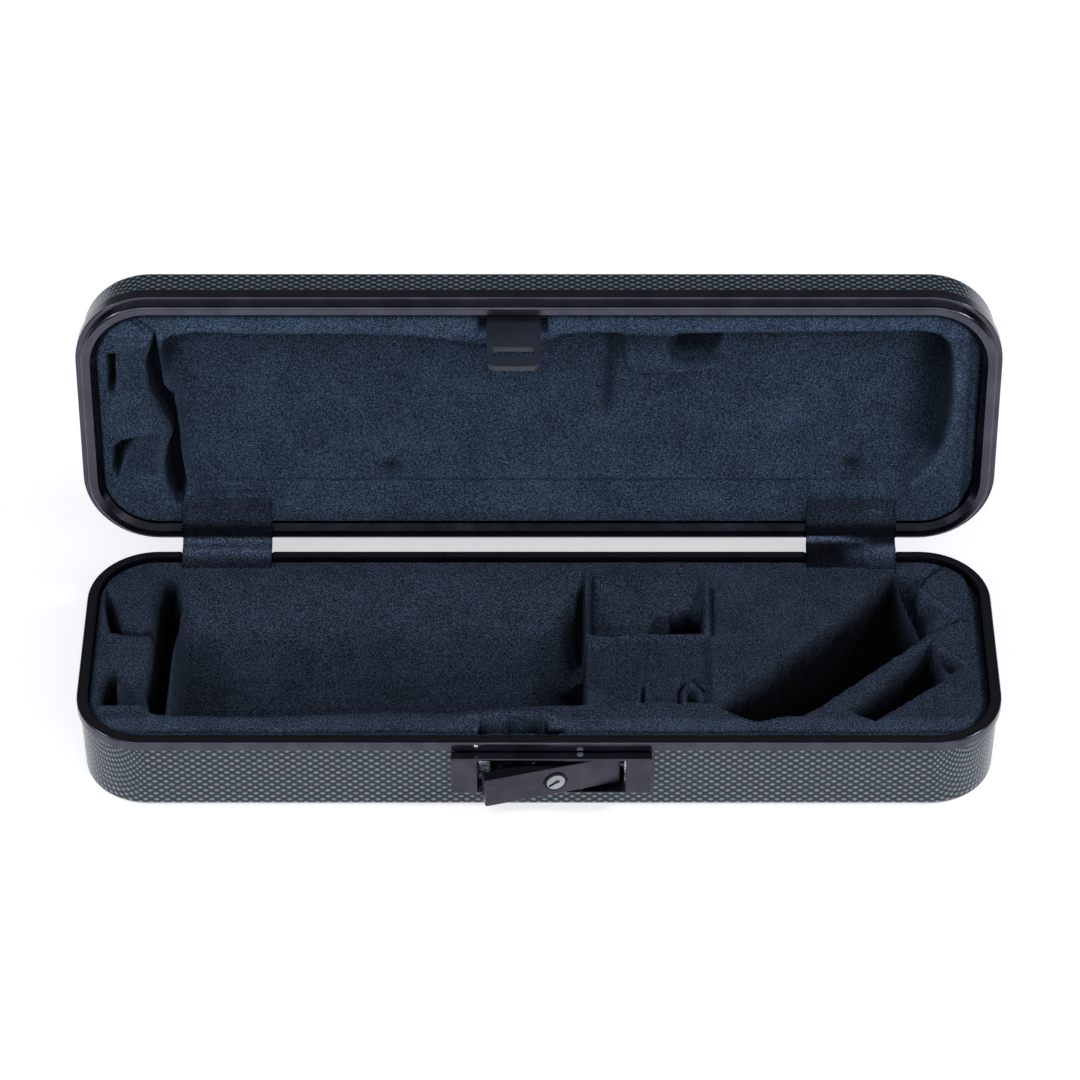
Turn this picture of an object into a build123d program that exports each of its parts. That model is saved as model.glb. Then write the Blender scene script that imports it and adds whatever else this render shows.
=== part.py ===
"""Oboe case: a rigid tub and lid with metal rims, two rear hinges and a rocker latch with a lock.

Frame: origin at the centre of the tub's flat base, X along the length, Y to the hinges, Z up.
The lid is modelled shut and then swung open about the hinge axis. The lever is modelled shut
and then swung out about its own pin. Millimetres throughout.
"""
import os
from math import radians, tan

from build123d import *

# Outline of the case
CASE_L = 350.0          # tub rim, along X
CASE_W = 106.0          # tub rim, along Y
CORNER_R = 26.5         # plan radius of the rim corners
TUB_H = 35.5            # base to the tub's mating face
LID_H = 25.0             # lid's mating face to its top
LID_GAP = 0.3           # between the two mating faces when shut
LID_OPEN = 98.0         # degrees the lid stands open

# Shells
WALL = 2.0
EDGE_R = 3.0            # radius between wall and floor
DRAFT = 1.0             # degrees, below the straight part of the wall
STRAIGHT = 8.0          # upright part of the wall at the rim
BAND_T = 1.2            # metal band outside the shell
SLIP = 0.05             # sliding clearance in slots and seats

# Tub rim section, inward distance from its face
RIM_WEB = 3.5           # thickness of the web on the shell's edge
RIM_BAND = 4.4          # height of the outer band
RIM_LEG = 8.0           # depth of the inner leg
RIM_LEG_T = 0.9
GROOVE_OUT = 0.9        # groove that holds the gasket
GROOVE_IN = 3.7
GROOVE_D = 1.2
BEAD_R = 0.8            # rounded outer edge
BAND_EDGE = 0.5         # rounded edges of the outer bands
GASKET_SIDE = 0.1

# Lid rim section
LID_RING_W = 5.6
LID_RING_H = 3.4        # mating face to the flange's lower face
LID_WEB = 1.5           # the shell's seat above the flange's lower face
LID_BEAD_R = 1.2
LID_BEVEL = 2.1         # sloping inner edge
FLANGE_OUT = 2.3        # the lid's flange stands proud of the tub rim by this much
FLANGE_H = 6.1

# Foam inserts
INSERT_GAP = 0.2        # insert to rim
INSERT_R = 3.0          # lower edge radius
TUB_INSERT_DROP = 2.5   # insert top below the tub's mating face
LID_INSERT_DROP = 3.0   # insert face behind the lid's mating face
LEFT_BAY = 40.5         # from the case's left end to the first joint between inserts
RIGHT_BAY = 106.5
SPLIT_GAP = 0.2

# Hollows in the tub inserts, depths below the mating face
BORDER = 3.0            # foam left between a hollow and the next insert
TROUGH_DEPTH = 22.0
TROUGH_FRONT = 19.0     # from the rim's front face
TROUGH_LEAN = 1.0       # front wall, top to bed
TROUGH_SLOPE = (65.0, 84.0, 93.5)   # foot, break and top of the back slope, from the front face
TROUGH_BREAK = 6.0      # depth at the slope's break
KEY_L = 46.0
KEY_BACK = 9.0          # from the rim's back face
KEY_W = 33.0
KEY_DEPTH = 8.0
KEY_WELL_L = 16.0
KEY_WELL_W = 15.0
KEY_RIGHT = 2.5         # recess to the insert's right end
KEY_WELL_RIGHT = 1.0    # well to the recess's right end
TROUGH_RIGHT = 50.0     # bed's right end to the insert joint
PAD_FRONT = 24.0        # low pad right of the bed, from the front face to the key recess
PAD_DEPTH = 5.0
TRENCH_DEPTH = 20.0
END_POCKET_DEPTH = 15.0
BELL_DEPTH = 28.0
SMALL_DEPTH = 20.0
POCKET_R = 2.5
END_POCKET_R = 1.5
LID_POCKET_R = 1.0

# Plan outlines of the end hollows: distance in from the case's end, share of the half width
TRENCH = [
    (28.5, 0.802), (36.5, 0.717), (38.2, 0.094), (38.2, -0.623), (32.0, -0.698),
    (26.0, -0.566), (25.0, 0.108),
]
END_POCKET_BACK = [
    (9.5, 0.594), (14.0, 0.509), (21.4, 0.189), (15.0, 0.181), (9.5, 0.415),
]
END_POCKET_FRONT = [
    (9.5, -0.566), (16.5, -0.585), (17.5, -0.226), (12.5, -0.208),
]
BELL = [
    (103.0, -0.557), (67.0, 0.113), (39.0, 0.755), (19.0, 0.698), (11.5, 0.491),
    (27.0, 0.123), (50.5, -0.387), (65.0, -0.642), (89.0, -0.726), (102.0, -0.689),
]
SMALL_POCKET = [
    (56.0, -0.604), (46.6, -0.726), (20.0, -0.255), (20.5, -0.113), (24.0, 0.075),
]
LID_TRENCH = [
    (24.5, -0.717), (32.0, -0.745), (36.0, -0.189), (38.0, 0.679), (32.0, 0.717),
    (27.5, 0.189), (24.5, -0.528),
]
LID_END_POCKET_TOP = [
    (9.5, -0.585), (17, -0.585), (17, -0.283), (9.5, -0.283),
]
LID_END_POCKET_LOW = [
    (10, 0.151), (17.5, 0.151), (17.5, 0.5), (10, 0.5),
]
LID_HOLLOW_RIGHT = [
    (115.5, -0.726), (17.0, -0.726), (14.5, 0.226), (25.0, 0.519), (115.5, 0.519),
]

# Hollows in the lid inserts, depths behind the mating face
LID_HOLLOW_R = 4.0
BUMP_X = (7.4, 37.4)    # pad at the lid's front, from the middle insert's right end
BUMP_W = 16.5
LID_HOLLOW_DEPTH = 15.0
LID_HOLLOW_FRONT = 17.5         # hollow's edges, in from the rims' faces
LID_HOLLOW_BACK = 25.5
LID_TRENCH_DEPTH = 18.0
LID_POCKET_DEPTH = 14.0
BUMP_DEPTH = 6.0        # the raised pad stops this far behind the mating face

# Latch, all heights below the mating face
LATCH_X = 4.7           # centre of the plate
LATCH_DROP = 13.8       # centre line of plate and lever
PLATE_L = 75.4
PLATE_H = 18.3
PLATE_OUT = 4.0         # proud of the rim face
PLATE_R = 1.2
PLATE_EDGE = 0.6
WINDOW_L = 55.9
WINDOW_H = 16.5
WINDOW_SLIP = 0.3       # shell and rim stand back from the housing
BOX_T = 0.5             # latch housing sheet
BOX_DEEP = 6.9
BACK_T = 1.0
HOUSING_ROOM = 0.4      # insert stands back from the housing
HOOK_SLOT_X = (-18.5, -6.2)     # openings in the housing's back wall
HOOK_SLOT_DROP = (14.2, 19.6)
CAM_SLOT_X = (-3.6, 8.6)
CAM_SLOT_H = 5.6
LEVER_T = 4.6
LEVER_H = 13.8
LEVER_LEFT = -21.9
LEVER_RIGHT = 30.5
LEVER_REST = 14.5       # degrees the lever stands open
LEVER_CORNER_R = 0.8
LEVER_EDGE_R = 0.5
PIVOT_X = 15.4
PIVOT_A = -1.4
PIVOT_R = 1.2
PIVOT_RUN = 0.06        # running clearance of lever on pin
PIN_SHORT = 0.1         # pin ends sunk in the plate's edges
BOSS_R = 2.6

# Lock in the lever
LOCK_X = 5.2
LOCK_R = 3.5
LOCK_RUN = 0.06
LOCK_PROUD = 0.6
COLLAR_R = 4.4
COLLAR_T = 0.9
COLLAR_GAP = 0.1
SHAFT_R = 1.7
CAM_T = 0.95
CAM_FRONT = 7.25        # front face of the cam when shut
CAM_ARM = 6.0
CAM_W = 3.0
CAM_HUB_R = 2.4
KEY_ANGLE = 30.0
KEY_SLOT_L = 3.8         # keyway, from its round end
KEY_SLOT_W = 1.1
KEY_SLOT_D = 1.5
KEY_HOLE_R = 1.0
KEY_HOLE_OFF = 0.6      # round end, off the plug's centre
CAM_SCREW_HEAD_R = 1.5
CAM_SCREW_HEAD_T = 0.7
CAM_SCREW_R = 0.7
CAM_SCREW_LEN = 2.8
CAM_SCREW_SPARE = 0.2   # hole beyond the screw's tip
BEZEL_R = 4.4
BEZEL_T = 0.4
FACE_SLOT_L = 9.5       # sunk flats on each side of the lock
FACE_SLOT_H = 1.4
FACE_SLOT_D = 0.8

# Hook on the lever
HOOK_X = (-14.0, -8.0)
HOOK_DROP = (15.0, 18.7)
HOOK_TIP = 13.0
HOOK_FOOT_X = (-17.0, -5.0)
HOOK_FOOT_DROP = (9.0, 19.2)
HOOK_FOOT_T = 1.2
HOOK_CHAMFER = 1.8
HOOK_RIVET_R = 0.8
HOOK_RIVET_HEAD_R = 1.4
HOOK_RIVET_HEAD_T = 0.6
HOOK_RIVET_IN = 2.6     # rivet centres in from the foot's ends and top

# Leaf spring behind the lever's free end: X, and distance in from the rim's front face
SPRING_LINE = [
    (-22.6, 5.4), (-19.4, 5.4), (-17.4, 4.4), (-15.8, 4.5), (-13.2, 2.8), (-11.0, 3.0),
    (-8.8, 4.3), (-7.4, 4.1), (-5.2, 5.0),
]
SPRING_T = 0.5
SPRING_W = 4.2
SPRING_DROP = 10.8      # its lower edge below the tub's mating face

# Catch on the lid
CATCH_X = (-19.85, 0.65)
CATCH_A = 7.4
CATCH_T = 2.0
CATCH_LEN = 25.0
CATCH_TILT = 7.5
CATCH_R = 4.0
CATCH_SLOT_W = 15.6
CATCH_SLOT = (13.7, 19.4)
CATCH_BLOCK_X = (-22.0, 2.8)
CATCH_TOP = 12.4
CATCH_POCKET_X = (-25.0, 10.0)
CATCH_POCKET_A = 15.0
CATCH_POCKET_DEPTH = 27.5
CATCH_BAY_A = 12.5      # cut in the lid insert behind the catch
CATCH_BAY_OVER = 3.0    # past the catch at its right end and above its top
CATCH_SCREW_IN = 4.0    # screw centres in from the catch's ends and top
CATCH_SCREW_DEEP = 3.8
CATCH_HOLE_DEEP = 4.0

# Hinges
HINGE_END = 52.5        # from the case's end to the hinge's centre
HINGE_OUT = 3.2         # axis behind the tub rim face
HINGE_L = 30.0
KNUCKLE_R = 2.2
KNUCKLE_MID = 10.2      # length of the lid's knuckle
KNUCKLE_GAP = 0.3
HPIN_R = 1.0
HPIN_RUN = 0.06
HPIN_FIT = 0.02
LEAF_T = 1.6
LEAF_DOWN = 19.5
LEAF_UP = 20.0
LEAF_TOP = 0.6          # lower leaf's upper edge, below the axis
LEAF_RIVET_IN = 4.5     # rivet centres in from a leaf's end
BRACE_H = 4.0           # brace under the stop, where it meets the leaf
BRACE_GAP = 0.5         # brace above the rivet heads
BRACE_TOP = (0.6, 1.0)  # brace below the knuckle, at its near and far end
BRACE_SHORT = 0.3       # brace's far end to the stop's
STOP_IN = 1.0           # stop's ends in from the gap for the lid's knuckle
STOP_GAP = 0.15
STOP_FROM = 3.0
STOP_TO = 8.0
COVER_SHIFT = 0.5       # covers sit this much nearer the middle than the hinges
COVER_W = 35.0
COVER_T = 0.8
COVER_NOTCH = 0.9
COVER_ROOM = 0.5        # notch beyond each side of a cover
COVER_IN = 6.5          # how far each cover half runs in from the rim face

# Small fasteners
RIVET_R = 1.2
RIVET_HEAD_R = 2.0
RIVET_HEAD_T = 0.8
SCREW_R = 1.2
SCREW_HEAD_R = 2.4
SCREW_HEAD_T = 1.2
SCREW_SLOT_L = 3.4
SCREW_SLOT_W = 0.7
SCREW_SLOT_D = 0.5
RIM_RIVET_R = 0.6
RIM_RIVET_HEAD_R = 0.9
RIM_RIVET_HEAD_T = 0.4
RIM_RIVET_EDGE = 0.3
RIM_RIVET_DEEP = 0.7
RIM_RIVET_DROP = 1.7    # below the mating face
RIM_RIVET_OUT = 0.35    # beyond the window's left end

FRONT = -CASE_W / 2
BACK = CASE_W / 2
HINGE_Y = BACK + HINGE_OUT
HINGE_Z = TUB_H
LID_Z = TUB_H + LID_GAP
SPLIT_LEFT = LEFT_BAY - CASE_L / 2
SPLIT_RIGHT = CASE_L / 2 - RIGHT_BAY
LID_HOLLOW_Y = (FRONT + LID_HOLLOW_FRONT, BACK - LID_HOLLOW_BACK)
HINGE_X = CASE_L / 2 - HINGE_END
COVER_X = HINGE_X - COVER_SHIFT
SHELL_A = BAND_T + SLIP
LID_SHELL_A = BAND_T + SLIP - FLANGE_OUT
RIM_W = SHELL_A + WALL + SLIP + RIM_LEG_T
SHELL_TOP = TUB_H - RIM_WEB
LID_SEAT = LID_RING_H + LID_WEB
LID_SHELL_Z = LID_Z + LID_SEAT
FLANGE_TOP = LID_Z + LID_RING_H + FLANGE_H
LATCH_Z = TUB_H - LATCH_DROP
PIVOT_Y = FRONT + PIVOT_A
BIG = 60.0              # longer than any cut
OVER = 1.0              # cutters run past a face by this much


def front(a):
    """Y of a point that lies a inward of the tub rim's front face."""
    return FRONT + a


def block(x0, x1, y0, y1, z0, z1):
    box = Box(x1 - x0, y1 - y0, z1 - z0, align=(Align.MIN, Align.MIN, Align.MIN))
    return Pos(x0, y0, z0) * box


def plan(a):
    return RectangleRounded(CASE_L - 2 * a, CASE_W - 2 * a, CORNER_R - a)


def prism(a, z0, z1):
    return extrude(Pos(0, 0, z0) * plan(a), z1 - z0)


def from_end(outline, side):
    """Plan points of an outline given from the case's left (-1) or right (1) end."""
    return [(side * (CASE_L / 2 - d), share * CASE_W / 2) for d, share in outline]


def pocket(points, z0, z1, radius=POCKET_R):
    """A hollow of the given plan outline with rounded corners."""
    outline = make_face(FilletPolyline(*points, radius=radius, close=True))
    return extrude(Pos(0, 0, z0) * outline, z1 - z0)


def pin_z(x, y, radius, z0, z1):
    pin = Cylinder(radius, z1 - z0, align=(Align.CENTER, Align.CENTER, Align.MIN))
    return Pos(x, y, z0) * pin


def pin_y(x, z, radius, y0, y1):
    pin = Cylinder(radius, y1 - y0, align=(Align.CENTER, Align.CENTER, Align.MIN))
    return Pos(x, y0, z) * Rot(-90, 0, 0) * pin


def pin_x(y, z, radius, x0, x1):
    pin = Cylinder(radius, x1 - x0, align=(Align.CENTER, Align.CENTER, Align.MIN))
    return Pos(x0, y, z) * Rot(0, 90, 0) * pin


def rim_path():
    """Closed path round the tub rim's face at the base plane, from the middle of the front."""
    lx = CASE_L / 2 - CORNER_R
    ly = CASE_W / 2 - CORNER_R
    return Wire([
        Edge.make_line((0, FRONT), (lx, FRONT)),
        Edge.make_circle(CORNER_R, Plane((lx, -ly, 0)), 270, 360),
        Edge.make_line((CASE_L / 2, -ly), (CASE_L / 2, ly)),
        Edge.make_circle(CORNER_R, Plane((lx, ly, 0)), 0, 90),
        Edge.make_line((lx, BACK), (-lx, BACK)),
        Edge.make_circle(CORNER_R, Plane((-lx, ly, 0)), 90, 180),
        Edge.make_line((-CASE_L / 2, ly), (-CASE_L / 2, -ly)),
        Edge.make_circle(CORNER_R, Plane((-lx, -ly, 0)), 180, 270),
        Edge.make_line((-lx, FRONT), (0, FRONT)),
    ])


def run_round(points, rounds):
    """Sweep a section, given as inward distance and height, round the rim."""
    radii = [rounds.get(i, 0) for i in range(len(points))]
    section = make_face(FilletPolyline(*points, radius=radii, close=True))
    start = Plane(origin=(0, FRONT, 0), x_dir=(0, 1, 0), z_dir=(1, 0, 0))
    return sweep(start * section, path=rim_path()).clean()


def tray_solid(a, depth, edge):
    """Solid tray below the plane z = 0: upright at the top, drafted below, rounded at the floor."""
    upper = prism(a, -STRAIGHT, 0)
    down = Plane(origin=(0, 0, -STRAIGHT), x_dir=(1, 0, 0), z_dir=(0, 0, -1))
    lower = extrude(down * plan(a), depth - STRAIGHT, taper=DRAFT)
    body = upper + lower
    floor = body.faces().sort_by(Axis.Z)[0]
    return fillet(floor.edges(), edge)


def tray(a, depth):
    return tray_solid(a, depth, EDGE_R) - tray_solid(a + WALL, depth - WALL, EDGE_R - WALL)


def open_lid(part):
    """Swing a piece of the shut lid to where it stands open."""
    return Pos(0, HINGE_Y, HINGE_Z) * Rot(-LID_OPEN, 0, 0) * Pos(0, -HINGE_Y, -HINGE_Z) * part


def open_lever(part):
    """Swing a piece of the shut lever out about its pin."""
    return Pos(PIVOT_X, PIVOT_Y, 0) * Rot(0, 0, LEVER_REST) * Pos(-PIVOT_X, -PIVOT_Y, 0) * part


def tub_volume():
    return Pos(0, 0, SHELL_TOP) * tray_solid(SHELL_A, SHELL_TOP, EDGE_R)


def lid_volume():
    solid = tray_solid(LID_SHELL_A, LID_H - LID_SEAT, EDGE_R)
    return Pos(0, 0, LID_SHELL_Z) * Rot(180, 0, 0) * solid


def window_box(grow, y0, y1):
    """The latch window's outline, grown all round, between two depths."""
    half_l = WINDOW_L / 2 + grow
    half_h = WINDOW_H / 2 + grow
    return block(LATCH_X - half_l, LATCH_X + half_l, y0, y1, LATCH_Z - half_h, LATCH_Z + half_h)


def latch_rivet_x():
    """Centres of the two plate rivets, in the middle of the side frames."""
    reach = (PLATE_L + WINDOW_L) / 4
    return (LATCH_X - reach, LATCH_X + reach)


def make_tub_shell():
    shell = Pos(0, 0, SHELL_TOP) * tray(SHELL_A, SHELL_TOP)
    shell -= window_box(WINDOW_SLIP, front(0), front(RIM_W + OVER))
    for x in latch_rivet_x():
        shell -= pin_y(x, LATCH_Z, RIVET_R + SLIP, front(0), front(BIG / 6))
    for side in (-1, 1):
        for x in rivet_columns(side):
            shell -= pin_y(x, leaf_rivet_z_low(), RIVET_R + SLIP, BACK - BIG / 6, BACK)
    return shell


def make_tub_rim():
    top = TUB_H
    leg_in = RIM_W - RIM_LEG_T
    points = [
        (0, top), (GROOVE_OUT, top), (GROOVE_OUT, top - GROOVE_D), (GROOVE_IN, top - GROOVE_D),
        (GROOVE_IN, top), (RIM_W, top), (RIM_W, top - RIM_LEG), (leg_in, top - RIM_LEG),
        (leg_in, top - RIM_WEB),
        (BAND_T, top - RIM_WEB), (BAND_T, top - RIM_BAND), (0, top - RIM_BAND),
    ]
    rim = run_round(points, {0: BEAD_R, 11: BAND_EDGE})
    rim -= window_box(WINDOW_SLIP, front(-OVER), front(RIM_W + OVER))
    rim -= rivet_stem(SLIP)
    for side in (-1, 1):
        rim -= cover_slot(side, TUB_H - COVER_NOTCH, TUB_H + OVER)
    return rim


def make_gasket():
    low = TUB_H - GROOVE_D
    outer = GROOVE_OUT + GASKET_SIDE
    inner = GROOVE_IN - GASKET_SIDE
    gasket = run_round([(outer, low), (inner, low), (inner, TUB_H), (outer, TUB_H)], {})
    for side in (-1, 1):
        gasket -= cover_slot(side, TUB_H - COVER_NOTCH, TUB_H + OVER)
    return gasket


def rim_rivet_spot():
    return (LATCH_X - WINDOW_L / 2 - RIM_RIVET_OUT, TUB_H - RIM_RIVET_DROP)


def rivet_stem(grow):
    return pin_y(*rim_rivet_spot(), RIM_RIVET_R + grow, front(0), front(RIM_RIVET_DEEP + grow))


def make_rim_rivet():
    head = pin_y(*rim_rivet_spot(), RIM_RIVET_HEAD_R, front(-RIM_RIVET_HEAD_T), front(0))
    head = fillet(head.edges().sort_by(Axis.Y)[0], RIM_RIVET_EDGE)
    return head + rivet_stem(0)


def cover_slot(side, z0, z1):
    half = COVER_W / 2 + COVER_ROOM
    x = side * COVER_X
    return block(x - half, x + half, BACK - COVER_IN, BACK + COVER_IN, z0, z1)


def make_cover(side, z0):
    """Half of the fabric strip that hides a hinge, lying in its notch in the rim."""
    x = side * COVER_X
    return block(x - COVER_W / 2, x + COVER_W / 2, BACK - COVER_IN, BACK, z0, z0 + COVER_T)


def tub_blank():
    body = prism(RIM_W + INSERT_GAP, WALL, TUB_H - TUB_INSERT_DROP)
    return fillet(body.faces().sort_by(Axis.Z)[0].edges(), INSERT_R)


def below(depth):
    return (TUB_H - depth, TUB_H + OVER)


def make_tub_insert_left():
    insert = tub_blank() & block(-CASE_L, SPLIT_LEFT - SPLIT_GAP / 2, -CASE_W, CASE_W, 0, BIG)
    insert -= pocket(from_end(TRENCH, -1), *below(TRENCH_DEPTH))
    insert -= pocket(from_end(END_POCKET_BACK, -1), *below(END_POCKET_DEPTH), END_POCKET_R)
    insert -= pocket(from_end(END_POCKET_FRONT, -1), *below(END_POCKET_DEPTH), END_POCKET_R)
    return insert


def make_tub_insert_middle():
    left = SPLIT_LEFT + SPLIT_GAP / 2
    right = SPLIT_RIGHT - SPLIT_GAP / 2
    insert = tub_blank() & block(left, right, -CASE_W, CASE_W, 0, BIG)
    bed = TUB_H - TROUGH_DEPTH
    lip = TUB_H - TUB_INSERT_DROP
    foot, brow, back = (front(a) for a in TROUGH_SLOPE)
    section = [
        (front(TROUGH_FRONT), lip + OVER), (front(TROUGH_FRONT + TROUGH_LEAN), bed), (foot, bed),
        (brow, TUB_H - TROUGH_BREAK), (back, lip), (back, lip + OVER),
    ]
    side = Plane(origin=(left + BORDER + SPLIT_GAP, 0, 0), x_dir=(0, 1, 0), z_dir=(1, 0, 0))
    outline = make_face(Polyline(*section, close=True))
    insert -= extrude(side * outline, right - TROUGH_RIGHT - left - BORDER - SPLIT_GAP)
    key_x = right - KEY_RIGHT
    key_y = BACK - KEY_BACK - KEY_W
    insert -= block(right - TROUGH_RIGHT, key_x, front(PAD_FRONT), key_y, *below(PAD_DEPTH))
    insert -= block(key_x - KEY_L, key_x, key_y, key_y + KEY_W, *below(KEY_DEPTH))
    well_x = key_x - KEY_WELL_RIGHT
    insert -= block(well_x - KEY_WELL_L, well_x, key_y, key_y + KEY_WELL_W, *below(TROUGH_DEPTH))
    insert -= block(*CATCH_POCKET_X, front(0), front(CATCH_POCKET_A), *below(CATCH_POCKET_DEPTH))
    insert -= window_box(HOUSING_ROOM, front(0), front(BOX_DEEP + HOUSING_ROOM))
    return insert


def make_tub_insert_right():
    insert = tub_blank() & block(SPLIT_RIGHT + SPLIT_GAP / 2, CASE_L, -CASE_W, CASE_W, 0, BIG)
    insert -= pocket(from_end(BELL, 1), *below(BELL_DEPTH))
    insert -= pocket(from_end(SMALL_POCKET, 1), *below(SMALL_DEPTH), END_POCKET_R)
    return insert


def make_latch_plate():
    half_l = PLATE_L / 2
    half_h = PLATE_H / 2
    plate = block(LATCH_X - half_l, LATCH_X + half_l, front(-PLATE_OUT), front(0),
                  LATCH_Z - half_h, LATCH_Z + half_h)
    plate = fillet(plate.edges().filter_by(Axis.Y), PLATE_R)
    plate = fillet(plate.faces().sort_by(Axis.Y)[0].edges(), PLATE_EDGE)
    pad_top = min(TUB_H - RIM_BAND - SLIP, LATCH_Z + half_h)
    pad = block(LATCH_X - half_l + PLATE_R, LATCH_X + half_l - PLATE_R, front(0), front(WALL),
                LATCH_Z - half_h, pad_top)
    plate += pad - tub_volume()
    plate -= window_box(0, front(-PLATE_OUT - OVER), front(WALL + OVER))
    plate -= pin_z(PIVOT_X, PIVOT_Y, PIVOT_R + HPIN_FIT, LATCH_Z - half_h, LATCH_Z + half_h)
    for x in latch_rivet_x():
        plate -= pin_y(x, LATCH_Z, RIVET_R + SLIP, front(-PLATE_OUT / 2), front(BIG / 6))
    return plate


def make_latch_housing():
    back = front(BOX_DEEP)
    housing = window_box(0, front(0), back) - window_box(-BOX_T, front(-OVER), back - BACK_T)
    through = (back - BACK_T - OVER, back + OVER)
    housing -= block(*HOOK_SLOT_X, *through, TUB_H - HOOK_SLOT_DROP[1], TUB_H - HOOK_SLOT_DROP[0])
    housing -= block(*CAM_SLOT_X, *through, LATCH_Z - CAM_SLOT_H / 2, LATCH_Z + CAM_SLOT_H / 2)
    return housing


def make_latch_spring():
    """Wavy leaf on the housing's back wall behind the lever's free end."""
    near = [(x, front(a)) for x, a in SPRING_LINE]
    far = [(x, front(a + SPRING_T)) for x, a in reversed(SPRING_LINE)]
    outline = make_face(Polyline(*near, *far, close=True))
    return extrude(Pos(0, 0, TUB_H - SPRING_DROP) * outline, SPRING_W)


def make_pivot_pin():
    half = PLATE_H / 2 - PIN_SHORT
    return pin_z(PIVOT_X, PIVOT_Y, PIVOT_R, LATCH_Z - half, LATCH_Z + half)


def make_latch_rivets():
    inside = SHELL_A + WALL + draft_shift(SHELL_TOP - LATCH_Z + RIVET_HEAD_R)
    rivets = []
    for x in latch_rivet_x():
        stem = pin_y(x, LATCH_Z, RIVET_R, front(-PLATE_OUT / 2), front(inside))
        head = pin_y(x, LATCH_Z, RIVET_HEAD_R, front(inside), front(inside + RIVET_HEAD_T))
        rivets.append((stem + head).solid())
    return Compound(children=rivets)


def make_lever():
    face = front(-PLATE_OUT)
    half = LEVER_H / 2
    lever = block(LEVER_LEFT, LEVER_RIGHT, face, face + LEVER_T, LATCH_Z - half, LATCH_Z + half)
    lever = fillet(lever.edges().filter_by(Axis.Y), LEVER_CORNER_R)
    lever = fillet(lever.faces().sort_by(Axis.Y)[0].edges(), LEVER_EDGE_R)
    lever += pin_z(PIVOT_X, PIVOT_Y, BOSS_R, LATCH_Z - half, LATCH_Z + half)
    lever -= pin_z(PIVOT_X, PIVOT_Y, PIVOT_R + PIVOT_RUN, LATCH_Z - BIG, LATCH_Z + BIG)
    reach = FACE_SLOT_L / 2
    lever -= block(LOCK_X - reach, LOCK_X + reach, face, face + FACE_SLOT_D,
                   LATCH_Z - FACE_SLOT_H / 2, LATCH_Z + FACE_SLOT_H / 2)
    lever -= pin_y(LOCK_X, LATCH_Z, LOCK_R + LOCK_RUN, face - OVER, face + LEVER_T + OVER)
    for x, z in hook_rivet_spots():
        lever -= pin_y(x, z, HOOK_RIVET_R + SLIP, face + LEVER_T / 2, face + LEVER_T)
    return open_lever(lever)


def make_bezel():
    face = front(-PLATE_OUT)
    ring = pin_y(LOCK_X, LATCH_Z, BEZEL_R, face - BEZEL_T, face)
    return open_lever(ring - pin_y(LOCK_X, LATCH_Z, LOCK_R + LOCK_RUN, face - OVER, face + OVER))


def hook_rivet_spots():
    z = TUB_H - HOOK_FOOT_DROP[0] - HOOK_RIVET_IN
    return [(HOOK_FOOT_X[0] + HOOK_RIVET_IN, z), (HOOK_FOOT_X[1] - HOOK_RIVET_IN, z)]


def make_hook():
    back = front(-PLATE_OUT + LEVER_T)
    foot = block(*HOOK_FOOT_X, back, back + HOOK_FOOT_T, TUB_H - HOOK_FOOT_DROP[1],
                 TUB_H - HOOK_FOOT_DROP[0])
    z0 = TUB_H - HOOK_DROP[1]
    z1 = TUB_H - HOOK_DROP[0]
    arm = block(*HOOK_X, back, front(HOOK_TIP), z0, z1)
    tip = arm.faces().sort_by(Axis.Y)[-1].edges().filter_by(Axis.X).sort_by(Axis.Z)[-1]
    hook = foot + chamfer(tip, HOOK_CHAMFER)
    for x, z in hook_rivet_spots():
        hook -= pin_y(x, z, HOOK_RIVET_R + SLIP, back - OVER, back + BIG)
    return open_lever(hook)


def make_hook_rivets():
    back = front(-PLATE_OUT + LEVER_T)
    seat = back + HOOK_FOOT_T
    rivets = []
    for x, z in hook_rivet_spots():
        stem = pin_y(x, z, HOOK_RIVET_R, back - LEVER_T / 2, seat)
        head = pin_y(x, z, HOOK_RIVET_HEAD_R, seat, seat + HOOK_RIVET_HEAD_T)
        rivets.append(open_lever(stem + head).solid())
    return Compound(children=rivets)


def make_lock_plug():
    face = front(-PLATE_OUT)
    back = face + LEVER_T + COLLAR_GAP
    plug = pin_y(LOCK_X, LATCH_Z, LOCK_R, face - LOCK_PROUD, back)
    keyway = Pos(-KEY_SLOT_L / 2, 0, 0) * Box(KEY_SLOT_L, 2 * KEY_SLOT_D, KEY_SLOT_W)
    keyway += Rot(90, 0, 0) * Cylinder(KEY_HOLE_R, 2 * KEY_SLOT_D)
    turn = Rot(0, -KEY_ANGLE, 0) * Pos(KEY_HOLE_OFF, 0, 0)
    plug -= Pos(LOCK_X, face - LOCK_PROUD, LATCH_Z) * turn * keyway
    plug += pin_y(LOCK_X, LATCH_Z, COLLAR_R, back, back + COLLAR_T)
    plug += pin_y(LOCK_X, LATCH_Z, SHAFT_R, back, front(CAM_FRONT))
    hole_end = front(CAM_FRONT - CAM_SCREW_LEN - CAM_SCREW_SPARE)
    plug -= pin_y(LOCK_X, LATCH_Z, CAM_SCREW_R + SLIP, hole_end, front(CAM_FRONT))
    return open_lever(plug)


def make_lock_cam():
    y0 = front(CAM_FRONT)
    y1 = y0 + CAM_T
    cam = pin_y(LOCK_X, LATCH_Z, CAM_HUB_R, y0, y1)
    cam += block(LOCK_X - CAM_ARM, LOCK_X, y0, y1, LATCH_Z - CAM_W / 2, LATCH_Z + CAM_W / 2)
    return open_lever(cam - pin_y(LOCK_X, LATCH_Z, CAM_SCREW_R + SLIP, y0 - OVER, y1 + OVER))


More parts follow.
